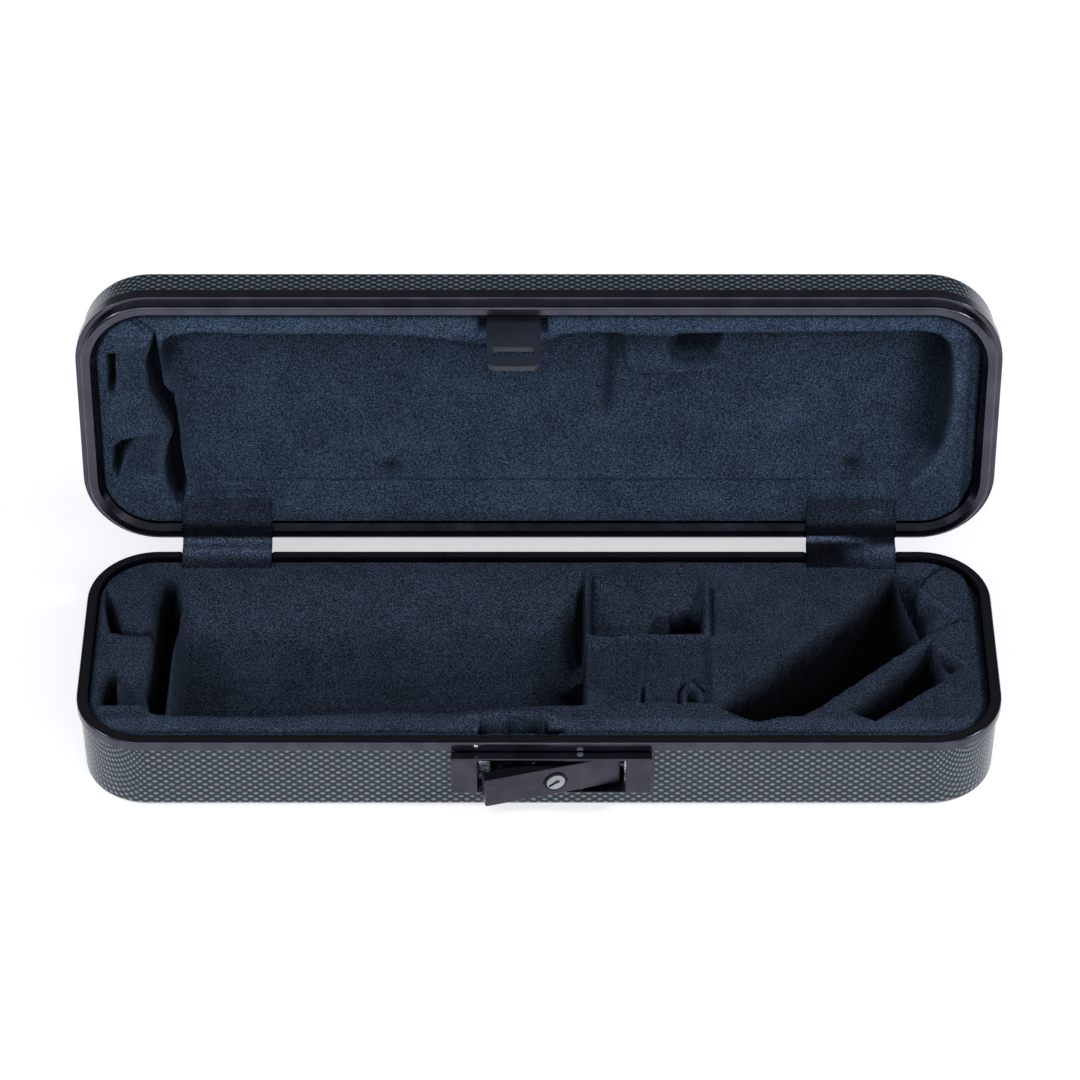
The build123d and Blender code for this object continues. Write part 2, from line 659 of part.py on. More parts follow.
def make_cam_screw():
    y0 = front(CAM_FRONT) + CAM_T
    head = pin_y(LOCK_X, LATCH_Z, CAM_SCREW_HEAD_R, y0, y0 + CAM_SCREW_HEAD_T)
    return open_lever(head + pin_y(LOCK_X, LATCH_Z, CAM_SCREW_R, front(CAM_FRONT - CAM_SCREW_LEN), y0))


def make_lid_shell():
    shell = Pos(0, 0, LID_SHELL_Z) * Rot(180, 0, 0) * tray(LID_SHELL_A, LID_H - LID_SEAT)
    for side in (-1, 1):
        for x in rivet_columns(side):
            shell -= pin_y(x, leaf_rivet_z_high(), RIVET_R + SLIP, BACK - BIG / 6, BACK + BIG / 6)
    return open_lid(shell)


def make_lid_rim():
    low = LID_Z
    under = LID_Z + LID_RING_H
    points = [
        (0, low), (LID_RING_W - LID_BEVEL, low), (LID_RING_W, low + LID_BEVEL),
        (LID_RING_W, LID_SHELL_Z), (BAND_T - FLANGE_OUT, LID_SHELL_Z),
        (BAND_T - FLANGE_OUT, FLANGE_TOP), (-FLANGE_OUT, FLANGE_TOP), (-FLANGE_OUT, under), (0, under),
    ]
    rim = run_round(points, {0: LID_BEAD_R, 6: BAND_EDGE, 7: BAND_EDGE})
    for side in (-1, 1):
        rim -= cover_slot(side, LID_Z - OVER, LID_Z + COVER_NOTCH)
    return open_lid(rim)


def lid_blank():
    body = prism(LID_RING_W + INSERT_GAP, LID_Z + LID_INSERT_DROP, LID_Z + LID_H - WALL)
    return fillet(body.faces().sort_by(Axis.Z)[-1].edges(), INSERT_R)


def behind(depth):
    return (LID_Z, LID_Z + depth)


def make_lid_insert_left():
    insert = lid_blank() & block(-CASE_L, SPLIT_LEFT - SPLIT_GAP / 2, -CASE_W, CASE_W, 0, 2 * BIG)
    insert -= pocket(from_end(LID_TRENCH, -1), *behind(LID_TRENCH_DEPTH))
    insert -= pocket(from_end(LID_END_POCKET_TOP, -1), *behind(LID_POCKET_DEPTH), LID_POCKET_R)
    insert -= pocket(from_end(LID_END_POCKET_LOW, -1), *behind(LID_POCKET_DEPTH), LID_POCKET_R)
    return open_lid(insert)


def make_lid_insert_middle():
    left = SPLIT_LEFT + SPLIT_GAP / 2
    right = SPLIT_RIGHT - SPLIT_GAP / 2
    insert = lid_blank() & block(left, right, -CASE_W, CASE_W, 0, 2 * BIG)
    insert -= block(left + BORDER, right + OVER, LID_HOLLOW_Y[0], LID_HOLLOW_Y[1],
                    *behind(LID_HOLLOW_DEPTH))
    bump_y = LID_HOLLOW_Y[0]
    insert += block(right - BUMP_X[1], right - BUMP_X[0], bump_y - OVER, bump_y + BUMP_W,
                    LID_Z + BUMP_DEPTH, LID_Z + LID_HOLLOW_DEPTH + OVER)
    insert -= block(CATCH_POCKET_X[0], CATCH_BLOCK_X[1] + CATCH_BAY_OVER, front(0),
                    front(CATCH_BAY_A), *behind(CATCH_TOP + CATCH_BAY_OVER))
    return open_lid(insert)


def make_lid_insert_right():
    left = SPLIT_RIGHT + SPLIT_GAP / 2
    insert = lid_blank() & block(left, CASE_L, -CASE_W, CASE_W, 0, 2 * BIG)
    insert -= pocket(from_end(LID_HOLLOW_RIGHT, 1), *behind(LID_HOLLOW_DEPTH), LID_HOLLOW_R)
    return open_lid(insert)


def make_catch():
    """Steel plate on the lid's front wall; its lower part tilts in to follow the swing."""
    drop = CATCH_LEN * tan(radians(CATCH_TILT))
    section = [
        (front(CATCH_A), LID_Z + CATCH_TOP), (front(CATCH_A), LID_Z),
        (front(CATCH_A + drop), LID_Z - CATCH_LEN),
        (front(CATCH_A + drop + CATCH_T), LID_Z - CATCH_LEN),
        (front(CATCH_A + CATCH_T), LID_Z), (front(CATCH_A + CATCH_T), LID_Z + CATCH_TOP),
    ]
    side = Plane(origin=(CATCH_X[0], 0, 0), x_dir=(0, 1, 0), z_dir=(1, 0, 0))
    catch = extrude(side * make_face(Polyline(*section, close=True)), CATCH_X[1] - CATCH_X[0])
    outline = block(*CATCH_X, front(0), front(BIG), LID_Z - CATCH_LEN, LID_Z + CATCH_TOP)
    low = outline.edges().filter_by(Axis.Y).group_by(Axis.Z)[0]
    catch &= fillet(low, CATCH_R)
    middle = sum(CATCH_X) / 2
    catch -= block(middle - CATCH_SLOT_W / 2, middle + CATCH_SLOT_W / 2, front(0), front(BIG),
                   LID_Z - CATCH_SLOT[1], LID_Z - CATCH_SLOT[0])
    for x in catch_screw_x():
        catch -= pin_y(x, catch_screw_z(), SCREW_R + SLIP, front(0), front(BIG))
    return open_lid(catch)


def catch_screw_x():
    return (CATCH_X[0] + CATCH_SCREW_IN, CATCH_X[1] - CATCH_SCREW_IN)


def catch_screw_z():
    return LID_Z + CATCH_TOP - CATCH_SCREW_IN


def make_catch_block():
    body = block(*CATCH_BLOCK_X, front(LID_SHELL_A + WALL), front(CATCH_A),
                 LID_SHELL_Z, LID_Z + CATCH_TOP)
    for x in catch_screw_x():
        hole_end = front(CATCH_A - CATCH_HOLE_DEEP)
        body -= pin_y(x, catch_screw_z(), SCREW_R + SLIP, hole_end, front(CATCH_A))
    return open_lid(body)


def make_catch_screws():
    screws = []
    face = front(CATCH_A + CATCH_T)
    for x in catch_screw_x():
        shank = pin_y(x, catch_screw_z(), SCREW_R, front(CATCH_A - CATCH_SCREW_DEEP), face)
        head = pin_y(x, catch_screw_z(), SCREW_HEAD_R, face, face + SCREW_HEAD_T)
        slot = Box(SCREW_SLOT_L, 2 * SCREW_SLOT_D, SCREW_SLOT_W)
        head -= Pos(x, face + SCREW_HEAD_T, catch_screw_z()) * slot
        screws.append(open_lid(shank + head).solid())
    return Compound(children=screws)


def rivet_columns(side):
    return [side * HINGE_X + step for step in (-HINGE_L / 3, 0, HINGE_L / 3)]


def leaf_rivet_z_low():
    return HINGE_Z - LEAF_DOWN + LEAF_RIVET_IN


def leaf_rivet_z_high():
    return HINGE_Z + LEAF_UP - LEAF_RIVET_IN


def knuckle(x0, x1, run):
    bore = pin_x(HINGE_Y, HINGE_Z, HPIN_R + run, x0 - OVER, x1 + OVER)
    return pin_x(HINGE_Y, HINGE_Z, KNUCKLE_R, x0, x1), bore


def make_leaf_lower(side):
    x = side * HINGE_X
    half = HINGE_L / 2
    mid = KNUCKLE_MID / 2 + KNUCKLE_GAP
    clear = KNUCKLE_R + KNUCKLE_GAP
    leaf = block(x - half, x + half, BACK, BACK + LEAF_T, HINGE_Z - LEAF_DOWN, HINGE_Z - LEAF_TOP)
    pad = block(x - half, x + half, BACK - WALL, BACK, HINGE_Z - LEAF_DOWN, TUB_H - RIM_BAND - SLIP)
    leaf += pad - tub_volume()
    leaf -= block(x - mid, x + mid, BACK - OVER, BACK + BIG, HINGE_Z - clear, HINGE_Z + clear)
    half_stop = mid - STOP_IN
    face = HINGE_Y + STOP_PLANE
    stop = block(x - half_stop, x + half_stop, face, face + LEAF_T,
                 HINGE_Z + STOP_FROM, HINGE_Z + STOP_TO)
    stop = open_lid(stop)
    brace_z = leaf_rivet_z_low() + RIVET_HEAD_R + BRACE_GAP
    under = HINGE_Z - KNUCKLE_R
    brace = [
        (BACK + LEAF_T, brace_z), (BACK + LEAF_T, brace_z + BRACE_H),
        (HINGE_Y + STOP_FROM, under - BRACE_TOP[0]),
        (HINGE_Y + STOP_TO - BRACE_SHORT, under - BRACE_TOP[1]),
    ]
    plane = Plane(origin=(x - half_stop, 0, 0), x_dir=(0, 1, 0), z_dir=(1, 0, 0))
    leaf += extrude(plane * make_face(Polyline(*brace, close=True)), 2 * half_stop)
    leaf += stop
    for x0, x1 in ((x - half, x - mid), (x + mid, x + half)):
        body, bore = knuckle(x0, x1, HPIN_FIT)
        leaf = leaf + body - bore
    for rx in rivet_columns(side):
        leaf -= pin_y(rx, leaf_rivet_z_low(), RIVET_R + SLIP, BACK - BIG / 6, BACK + BIG / 6)
    return leaf


def make_leaf_upper(side):
    x = side * HINGE_X
    half = HINGE_L / 2
    mid = KNUCKLE_MID / 2
    face = BACK + FLANGE_OUT
    clear = KNUCKLE_R + KNUCKLE_GAP
    top = HINGE_Z + LEAF_UP
    leaf = block(x - half, x + half, face, face + LEAF_T, HINGE_Z + clear, top)
    leaf += block(x - mid, x + mid, face, face + LEAF_T, HINGE_Z, HINGE_Z + clear)
    pad = block(x - half, x + half, BACK - OVER, face, FLANGE_TOP + SLIP, top)
    leaf += pad - lid_volume()
    body, bore = knuckle(x - mid, x + mid, HPIN_RUN)
    leaf = leaf + body - bore
    for rx in rivet_columns(side):
        leaf -= pin_y(rx, leaf_rivet_z_high(), RIVET_R + SLIP, BACK - BIG / 6, BACK + BIG / 6)
    return open_lid(leaf)


def make_hinge_pin(side):
    half = HINGE_L / 2
    x = side * HINGE_X
    return pin_x(HINGE_Y, HINGE_Z, HPIN_R, x - half, x + half)


def leaf_rivets(z, face, skin):
    """Six rivets through hinge leaves and shell, outer and inner heads."""
    rivets = []
    for side in (-1, 1):
        for x in rivet_columns(side):
            stem = pin_y(x, z, RIVET_R, skin, face)
            outer = pin_y(x, z, RIVET_HEAD_R, face, face + RIVET_HEAD_T)
            inner = pin_y(x, z, RIVET_HEAD_R, skin - RIVET_HEAD_T, skin)
            rivets.append(stem + outer + inner)
    return rivets


def draft_shift(below_seat):
    """How far the drafted wall has moved in at a distance from the shell's open edge."""
    return max(0.0, below_seat - STRAIGHT) * tan(radians(DRAFT))


def make_rivets_lower():
    z = leaf_rivet_z_low()
    lean = draft_shift(SHELL_TOP - z + RIVET_HEAD_R)
    skin = BACK - SHELL_A - WALL - lean
    return Compound(children=[r.solid() for r in leaf_rivets(z, BACK + LEAF_T, skin)])


def make_rivets_upper():
    z = leaf_rivet_z_high()
    lean = draft_shift(z - LID_SHELL_Z + RIVET_HEAD_R)
    skin = BACK - LID_SHELL_A - WALL - lean
    face = BACK + FLANGE_OUT + LEAF_T
    return Compound(children=[open_lid(r).solid() for r in leaf_rivets(z, face, skin)])


STOP_PLANE = FLANGE_OUT - HINGE_OUT + LEAF_T + STOP_GAP

NODES = {
    "tub_shell": make_tub_shell,
    "tub_rim": make_tub_rim,
    "rim_gasket": make_gasket,
    "tub_insert_left": make_tub_insert_left,
    "tub_insert_middle": make_tub_insert_middle,
    "tub_insert_right": make_tub_insert_right,
    "latch_plate": make_latch_plate,
    "latch_housing": make_latch_housing,
    "latch_spring": make_latch_spring,
    "latch_pivot_pin": make_pivot_pin,
    "latch_rivets": make_latch_rivets,
    "rim_rivet": make_rim_rivet,
    "hinge_leaf_lower_left": lambda: make_leaf_lower(-1),
    "hinge_leaf_lower_right": lambda: make_leaf_lower(1),
    "hinge_pin_left": lambda: make_hinge_pin(-1),
    "hinge_pin_right": lambda: make_hinge_pin(1),
    "hinge_rivets_lower": make_rivets_lower,
    "hinge_cover_lower_left": lambda: make_cover(-1, TUB_H - COVER_NOTCH),
    "hinge_cover_lower_right": lambda: make_cover(1, TUB_H - COVER_NOTCH),
    "lid_shell": make_lid_shell,
    "lid_rim": make_lid_rim,
    "lid_insert_left": make_lid_insert_left,
    "lid_insert_middle": make_lid_insert_middle,
    "lid_insert_right": make_lid_insert_right,
    "lid_catch": make_catch,
    "catch_block": make_catch_block,
    "catch_screws": make_catch_screws,
    "hinge_leaf_upper_left": lambda: make_leaf_upper(-1),
    "hinge_leaf_upper_right": lambda: make_leaf_upper(1),
    "hinge_rivets_upper": make_rivets_upper,
    "hinge_cover_upper_left": lambda: open_lid(make_cover(-1, LID_Z + COVER_NOTCH - COVER_T)),
    "hinge_cover_upper_right": lambda: open_lid(make_cover(1, LID_Z + COVER_NOTCH - COVER_T)),
    "latch_lever": make_lever,
    "latch_hook": make_hook,
    "hook_rivets": make_hook_rivets,
    "lock_bezel": make_bezel,
    "lock_plug": make_lock_plug,
    "lock_cam": make_lock_cam,
    "cam_screw": make_cam_screw,
}

os.makedirs("parts", exist_ok=True)
for name, make in NODES.items():
    export_step(make(), f"parts/{name}.step")
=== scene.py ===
"""Looks for the oboe case: patterned shells, satin rims, velvet linings and hinge covers."""
from math import cos, pi, radians, sin

import bpy
import numpy as np
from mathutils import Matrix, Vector


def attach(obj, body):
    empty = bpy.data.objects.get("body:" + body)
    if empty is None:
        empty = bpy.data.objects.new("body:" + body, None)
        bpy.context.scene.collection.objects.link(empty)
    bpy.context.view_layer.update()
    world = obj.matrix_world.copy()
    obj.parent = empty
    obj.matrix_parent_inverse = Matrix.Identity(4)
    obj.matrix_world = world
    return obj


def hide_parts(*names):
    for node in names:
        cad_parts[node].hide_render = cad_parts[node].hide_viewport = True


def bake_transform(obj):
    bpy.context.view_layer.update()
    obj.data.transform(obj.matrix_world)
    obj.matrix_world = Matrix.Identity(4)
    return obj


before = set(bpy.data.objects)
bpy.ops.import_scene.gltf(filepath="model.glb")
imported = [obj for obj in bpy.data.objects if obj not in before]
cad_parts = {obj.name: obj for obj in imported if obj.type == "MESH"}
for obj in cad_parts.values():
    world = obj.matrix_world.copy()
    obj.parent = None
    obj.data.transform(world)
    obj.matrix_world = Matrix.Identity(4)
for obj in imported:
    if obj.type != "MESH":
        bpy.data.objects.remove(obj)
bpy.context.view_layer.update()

# Sizes repeated from the part, in millimetres
CASE_L, CASE_W, CORNER_R = 350.0, 106.0, 26.5
TUB_H, LID_GAP, LID_H = 35.5, 0.3, 25.0
RIM_W, LID_RING_W = 4.2, 5.6
TUB_LINING_GAP, LID_LINING_GAP = 0.1, 0.12
SHELL_IN, EDGE_R, WALL = 1.67, 3.0, 2.0    # shell face in from the rim's at the floor
HINGE_Y, HINGE_Z = 56.2, 35.5
OPEN = radians(98.0)
COVER_X, COVER_W = 122.0, 35.0
HOUSING_X = (-23.7, 33.1)                  # latch housing, with room round it
HOUSING_IN, HOUSING_TOP = 7.0, 30.6

STRAIGHT_X = CASE_L / 2 - CORNER_R         # where the outline's straight runs end
STRAIGHT_Y = CASE_W / 2 - CORNER_R
LID_Z = TUB_H + LID_GAP


# Small helpers

def new_object(name, verts, faces, painted_light_and_mottle=None):
    """Mesh from millimetre points; the optional per-point factor multiplies the velvet's colour
    with painted light and shade and some random mottle.
    """
    mesh = bpy.data.meshes.new(name)
    mesh.from_pydata([tuple(v) for v in np.asarray(verts, float) / 1000.0], [], faces)
    mesh.polygons.foreach_set("use_smooth", [True] * len(mesh.polygons))
    if painted_light_and_mottle is not None:
        layer = mesh.attributes.new("painted_light_and_mottle", "FLOAT", "POINT")
        layer.data.foreach_set("value", np.asarray(painted_light_and_mottle, np.float32))
    obj = bpy.data.objects.new(name, mesh)
    bpy.context.scene.collection.objects.link(obj)
    return obj


def swing(points):
    """Millimetre points of the shut lid, swung to where it stands open."""
    p = np.asarray(points, float).copy()
    dy = p[..., 1] - HINGE_Y
    dz = p[..., 2] - HINGE_Z
    c, s = cos(-OPEN), sin(-OPEN)
    p[..., 1] = HINGE_Y + dy * c - dz * s
    p[..., 2] = HINGE_Z + dy * s + dz * c
    return p


def smooth(t):
    t = np.clip(t, 0.0, 1.0)
    return t * t * (3 - 2 * t)


def inside(X, Y, poly):
    """Signed distance to a polygon, positive inside."""
    pts = np.array(poly, float)
    best = np.full(X.shape, 1e9)
    odd = np.zeros(X.shape, bool)
    for (x0, y0), (x1, y1) in zip(pts, np.roll(pts, -1, axis=0)):
        ex, ey = x1 - x0, y1 - y0
        t = np.clip(((X - x0) * ex + (Y - y0) * ey) / (ex * ex + ey * ey), 0, 1)
        best = np.minimum(best, np.hypot(X - x0 - t * ex, Y - y0 - t * ey))
        if y0 != y1:
            crosses = ((y0 > Y) != (y1 > Y)) & (X < (x1 - x0) * (Y - y0) / (y1 - y0) + x0)
            odd ^= crosses
    return np.where(odd, best, -best)


def along(X, Y, line):
    """Distance to an open line of points."""
    best = np.full(X.shape, 1e9)
    for (x0, y0), (x1, y1) in zip(line[:-1], line[1:]):
        ex, ey = x1 - x0, y1 - y0
        t = np.clip(((X - x0) * ex + (Y - y0) * ey) / (ex * ex + ey * ey), 0, 1)
        best = np.minimum(best, np.hypot(X - x0 - t * ex, Y - y0 - t * ey))
    return best


def ridge(X, Y, line, width):
    """1 on a line of points, fading over a width to both sides."""
    return np.exp(-((along(X, Y, line) / width) ** 2))


def waves(X, Y, seed, scale, octaves=3):
    """Smooth seeded unevenness, about -1 to 1."""
    rng = np.random.default_rng(seed)
    total = np.zeros(X.shape)
    size = 1.0
    for _ in range(octaves):
        for _ in range(4):
            a, b = rng.normal(0, 1, 2)
            total += size * np.sin((a * X + b * Y) / scale + rng.uniform(0, 6.28))
        scale *= 0.5
        size *= 0.5
    return total / 5.0


def well(X, Y, poly, depth, wall=2.4, lip=0.7, edge=0.0):
    """How far a hollow drops the lining: steep soft walls and a rolled lip."""
    d = inside(X, Y, poly) + edge
    return depth * smooth(d / wall + 0.15) + lip * np.exp(-np.maximum(-d, 0) / 1.3) * (d < wall)


def half_width(x, inset):
    """Half the lining's width at x, inside a rim inset this far from the tub rim's face."""
    r = CORNER_R - inset
    over = np.clip(np.abs(x) - STRAIGHT_X, 0, r)
    return STRAIGHT_Y + np.sqrt(np.maximum(r * r - over * over, 0))


def lining_grid(inset, step=0.7):
    """Plan grid that follows the rounded outline inside a rim."""
    r = CORNER_R - inset
    middle = np.linspace(-STRAIGHT_X, STRAIGHT_X, int(2 * STRAIGHT_X / step) + 1)
    turn = np.linspace(0, pi / 2, 41)[1:]
    end = STRAIGHT_X + r * np.sin(turn)
    xs = np.concatenate([-end[::-1], middle, end])
    vs = np.linspace(-1, 1, int(2 * (CASE_W / 2 - inset) / step) + 1)
    X = np.repeat(xs[:, None], len(vs), 1)
    Y = half_width(X, inset) * vs[None, :]
    return X, Y


def edge_distance(X, Y, inset):
    """Distance in from the rounded outline."""
    cx = np.clip(X, -STRAIGHT_X, STRAIGHT_X)
    cy = np.clip(Y, -STRAIGHT_Y, STRAIGHT_Y)
    out = np.hypot(X - cx, Y - cy)
    return np.where(out > 0, CORNER_R - inset - out,
                    np.minimum(CASE_L / 2 - inset - np.abs(X), CASE_W / 2 - inset - np.abs(Y)))


def drawn_in(points, by):
    """Outline points moved towards the middle by a distance."""
    moved = points.copy()
    cx = np.clip(points[:, 0], -STRAIGHT_X, STRAIGHT_X)
    cy = np.clip(points[:, 1], -STRAIGHT_Y, STRAIGHT_Y)
    away = np.hypot(points[:, 0] - cx, points[:, 1] - cy)
    keep = (away - by) / np.maximum(away, 1e-6)
    moved[:, 0] = cx + (points[:, 0] - cx) * keep
    moved[:, 1] = cy + (points[:, 1] - cy) * keep
    return moved


def lining_mesh(name, X, Y, top, rings, is_lid, painted_light_and_mottle):
    """Closed solid: the shaped face, a skirt through the given rings and a plain back."""
    nx, ny = X.shape
    face = np.stack([X, Y, top], -1).reshape(-1, 3)
    loop = [i * ny for i in range(nx)]
    loop += [(nx - 1) * ny + j for j in range(1, ny)]
    loop += [i * ny + ny - 1 for i in range(nx - 2, -1, -1)]
    loop += [j for j in range(ny - 2, 0, -1)]
    count = len(loop)
    verts = [face]
    rows = [loop]
    for k, (z, by, notch) in enumerate(rings):
        ring = drawn_in(face[loop], by)
        ring[:, 2] = z
        if notch:
            near = (ring[:, 0] > HOUSING_X[0]) & (ring[:, 0] < HOUSING_X[1]) & (ring[:, 1] < 0)
            ring[near, 1] = np.maximum(ring[near, 1], HOUSING_IN - CASE_W / 2)
        verts.append(ring)
        rows.append([len(face) + k * count + i for i in range(count)])
    faces = []
    for i in range(nx - 1):
        for j in range(ny - 1):
            a = i * ny + j
            faces.append((a, a + ny, a + ny + 1, a + 1))
    for upper, lower in zip(rows[:-1], rows[1:]):
        for k in range(count):
            n = (k + 1) % count
            faces.append((upper[k], lower[k], lower[n], upper[n]))
    faces.append(tuple(rows[-1][::-1]))
    if is_lid:
        faces = [f[::-1] for f in faces]
    verts = np.concatenate(verts)
    if is_lid:
        verts = swing(verts)
    shade = np.ones(len(verts))
    shade[:nx * ny] = painted_light_and_mottle.ravel()
    return new_object(name, verts, faces, shade)


def carve(obj, low, high):
    """Cuts an upright box out of a closed mesh, for pieces that work behind its face."""
    corners = [(x, y, z) for x in (low[0], high[0]) for y in (low[1], high[1])
               for z in (low[2], high[2])]
    sides = [(0, 1, 3, 2), (4, 6, 7, 5), (0, 4, 5, 1), (2, 3, 7, 6), (0, 2, 6, 4), (1, 5, 7, 3)]
    box = new_object("cutter", corners, sides)
    cut = obj.modifiers.new("cut", "BOOLEAN")
    cut.operation = "DIFFERENCE"
    cut.solver = "MANIFOLD"
    cut.object = box
    graph = bpy.context.evaluated_depsgraph_get()
    carved = bpy.data.meshes.new_from_object(obj.evaluated_get(graph))
    obj.modifiers.clear()
    obj.data = carved
    bpy.data.objects.remove(box)




# Node material helpers

def material(name):
    mat = bpy.data.materials.new(name)
    mat.use_nodes = True
    nodes = mat.node_tree.nodes
    return mat, nodes, mat.node_tree.links, nodes["Principled BSDF"]


def plug(links, value, socket):
    """A socket's value: a constant or another node's output."""
    if isinstance(value, (int, float)):
        socket.default_value = value
    else:
        links.new(value, socket)


def math_node(nodes, links, operation, a, b=None, clamp=False):
    made = nodes.new("ShaderNodeMath")
    made.operation = operation
    made.use_clamp = clamp
    plug(links, a, made.inputs[0])
    if b is not None:
        plug(links, b, made.inputs[1])
    return made.outputs[0]


def noise(nodes, links, coords, scale, detail=3.0, rough=0.55):
    made = nodes.new("ShaderNodeTexNoise")
    made.inputs["Scale"].default_value = scale
    made.inputs["Detail"].default_value = detail
    made.inputs["Roughness"].default_value = rough
    links.new(coords, made.inputs["Vector"])
    return made.outputs["Fac"]


def ramp(nodes, links, value, stops):
    made = nodes.new("ShaderNodeValToRGB")
    while len(made.color_ramp.elements) < len(stops):
        made.color_ramp.elements.new(0.5)
    for element, (place, colour) in zip(made.color_ramp.elements, stops):
        element.position = place
        element.color = (*colour, 1.0)
    links.new(value, made.inputs["Fac"])
    return made.outputs["Color"]


def spread(nodes, links, value, low, high, to_low, to_high):
    made = nodes.new("ShaderNodeMapRange")
    made.inputs["From Min"].default_value = low
    made.inputs["From Max"].default_value = high
    made.inputs["To Min"].default_value = to_low
    made.inputs["To Max"].default_value = to_high
    links.new(value, made.inputs["Value"])
    return made.outputs["Result"]


def mix(nodes, links, share, first, second, blend="MIX"):
    made = nodes.new("ShaderNodeMix")
    made.data_type = "RGBA"
    made.blend_type = blend
    plug(links, share, made.inputs["Factor"])
    for value, socket in ((first, made.inputs["A"]), (second, made.inputs["B"])):
        if isinstance(value, tuple):
            socket.default_value = (*value, 1.0)
        else:
            links.new(value, socket)
    return made.outputs["Result"]


def bump(nodes, links, height, distance, strength=1.0):
    made = nodes.new("ShaderNodeBump")
    made.inputs["Distance"].default_value = distance
    made.inputs["Strength"].default_value = strength
    links.new(height, made.inputs["Height"])
    return made.outputs["Normal"]


def object_coords(nodes):
    return nodes.new("ShaderNodeTexCoord").outputs["Object"]


# Materials

DOT_PITCH = (4.2, 3.26)          # floats of the weave, millimetres
DOT_SIZE = (2.05, 1.45)
SHELL_GROUND = (0.006, 0.009, 0.016)


def velvet(name, tint, tips=(0.50, 0.62, 0.78)):
    """Short dense pile: fine glinting tips over a near-black ground, multiplied point by point by
    the mesh's painted light and shade and random mottle.
    """
    mat, nodes, links, shader = material(name)
    coords = object_coords(nodes)
    pile = noise(nodes, links, coords, 1700, 2.0, 0.65)
    fine = noise(nodes, links, coords, 2600, 1.0, 0.5)
    patch = noise(nodes, links, coords, 70, 3.0, 0.6)
    mixed = math_node(nodes, links, "ADD", math_node(nodes, links, "MULTIPLY", pile, 0.6),
                      math_node(nodes, links, "MULTIPLY", fine, 0.4))
    mixed = math_node(nodes, links, "ADD", mixed,
                      spread(nodes, links, patch, 0.3, 0.7, -0.02, 0.02))
    ground = tuple(0.22 * c for c in tint)
    middle = tuple(0.75 * c for c in tint)
    light = tuple(2.7 * c for c in tint)
    colour = ramp(nodes, links, mixed,
                  [(0.40, ground), (0.485, middle), (0.545, tuple(1.5 * c for c in tint)),
                   (0.64, light)])
    # Painted light and shade from the mesh, with random mottle, multiplied into the pile's colour.
    painted_light_and_mottle = nodes.new("ShaderNodeAttribute")
    painted_light_and_mottle.attribute_name = "painted_light_and_mottle"
    grey = nodes.new("ShaderNodeCombineXYZ")
    for socket in grey.inputs:
        links.new(painted_light_and_mottle.outputs["Fac"], socket)
    links.new(mix(nodes, links, 1.0, colour, grey.outputs["Vector"], "MULTIPLY"),
              shader.inputs["Base Color"])
    shader.inputs["Roughness"].default_value = 0.95
    shader.inputs["Specular IOR Level"].default_value = 0.05
    shader.inputs["Sheen Weight"].default_value = 0.03
    shader.inputs["Sheen Roughness"].default_value = 0.4
    shader.inputs["Sheen Tint"].default_value = (*tips, 1.0)
    links.new(bump(nodes, links, mixed, 0.0004, 0.8), shader.inputs["Normal"])
    return mat


def coated_metal(name, colour, rough, grain=0.25, grain_scale=1400, metallic=1.0):
    """Anodised or painted metal: small blotches in the gloss and a fine grain."""
    mat, nodes, links, shader = material(name)
    coords = object_coords(nodes)
    cloud = noise(nodes, links, coords, 90, 4.0, 0.6)
    fine = noise(nodes, links, coords, grain_scale, 2.0, 0.5)
    low = tuple(0.85 * c for c in colour)
    high = tuple(min(1.0, 1.18 * c) for c in colour)
    links.new(ramp(nodes, links, cloud, [(0.35, low), (0.65, high)]), shader.inputs["Base Color"])
    gloss = math_node(nodes, links, "ADD", spread(nodes, links, cloud, 0.3, 0.7, -0.03, 0.03),
                      spread(nodes, links, fine, 0.3, 0.7, rough - 0.03, rough + 0.03))
    links.new(gloss, shader.inputs["Roughness"])
    shader.inputs["Metallic"].default_value = metallic
    links.new(bump(nodes, links, fine, 0.00004, grain), shader.inputs["Normal"])
    return mat


def pressed_steel(name):
    """Thin bright crumpled sheet: noise patches painted near black stand in for the dark it
    reflects, the rest keeps its bright colour.
    """
    mat, nodes, links, shader = material(name)
    coords = object_coords(nodes)
    crease = noise(nodes, links, coords, 260, 3.0, 0.6)
    # Painted dark reflection: where this noise is low the sheet's colour is painted near black and
    # rougher.
    shade_patch = noise(nodes, links, coords, 120, 2.0, 0.5)
    dark, pale = (0.012, 0.018, 0.022), (0.48, 0.53, 0.56)
    links.new(ramp(nodes, links, shade_patch, [(0.46, dark), (0.56, pale)]), shader.inputs["Base Color"])
    links.new(spread(nodes, links, shade_patch, 0.4, 0.7, 0.45, 0.20), shader.inputs["Roughness"])
    shader.inputs["Metallic"].default_value = 1.0
    links.new(bump(nodes, links, crease, 0.0012, 1.0), shader.inputs["Normal"])
    return mat


def rubber(name, colour):
    mat, nodes, links, shader = material(name)
    fine = noise(nodes, links, object_coords(nodes), 900, 3.0, 0.6)
    low = tuple(0.7 * c for c in colour)
    links.new(ramp(nodes, links, fine, [(0.35, low), (0.65, colour)]), shader.inputs["Base Color"])
    links.new(spread(nodes, links, fine, 0.3, 0.7, 0.6, 0.75), shader.inputs["Roughness"])
    shader.inputs["Specular IOR Level"].default_value = 0.2
    links.new(bump(nodes, links, fine, 0.00006, 0.6), shader.inputs["Normal"])
    return mat


def clamp_to(nodes, links, value, limit):
    upper = math_node(nodes, links, "MINIMUM", value, limit)
    return math_node(nodes, links, "MAXIMUM", upper, -limit)


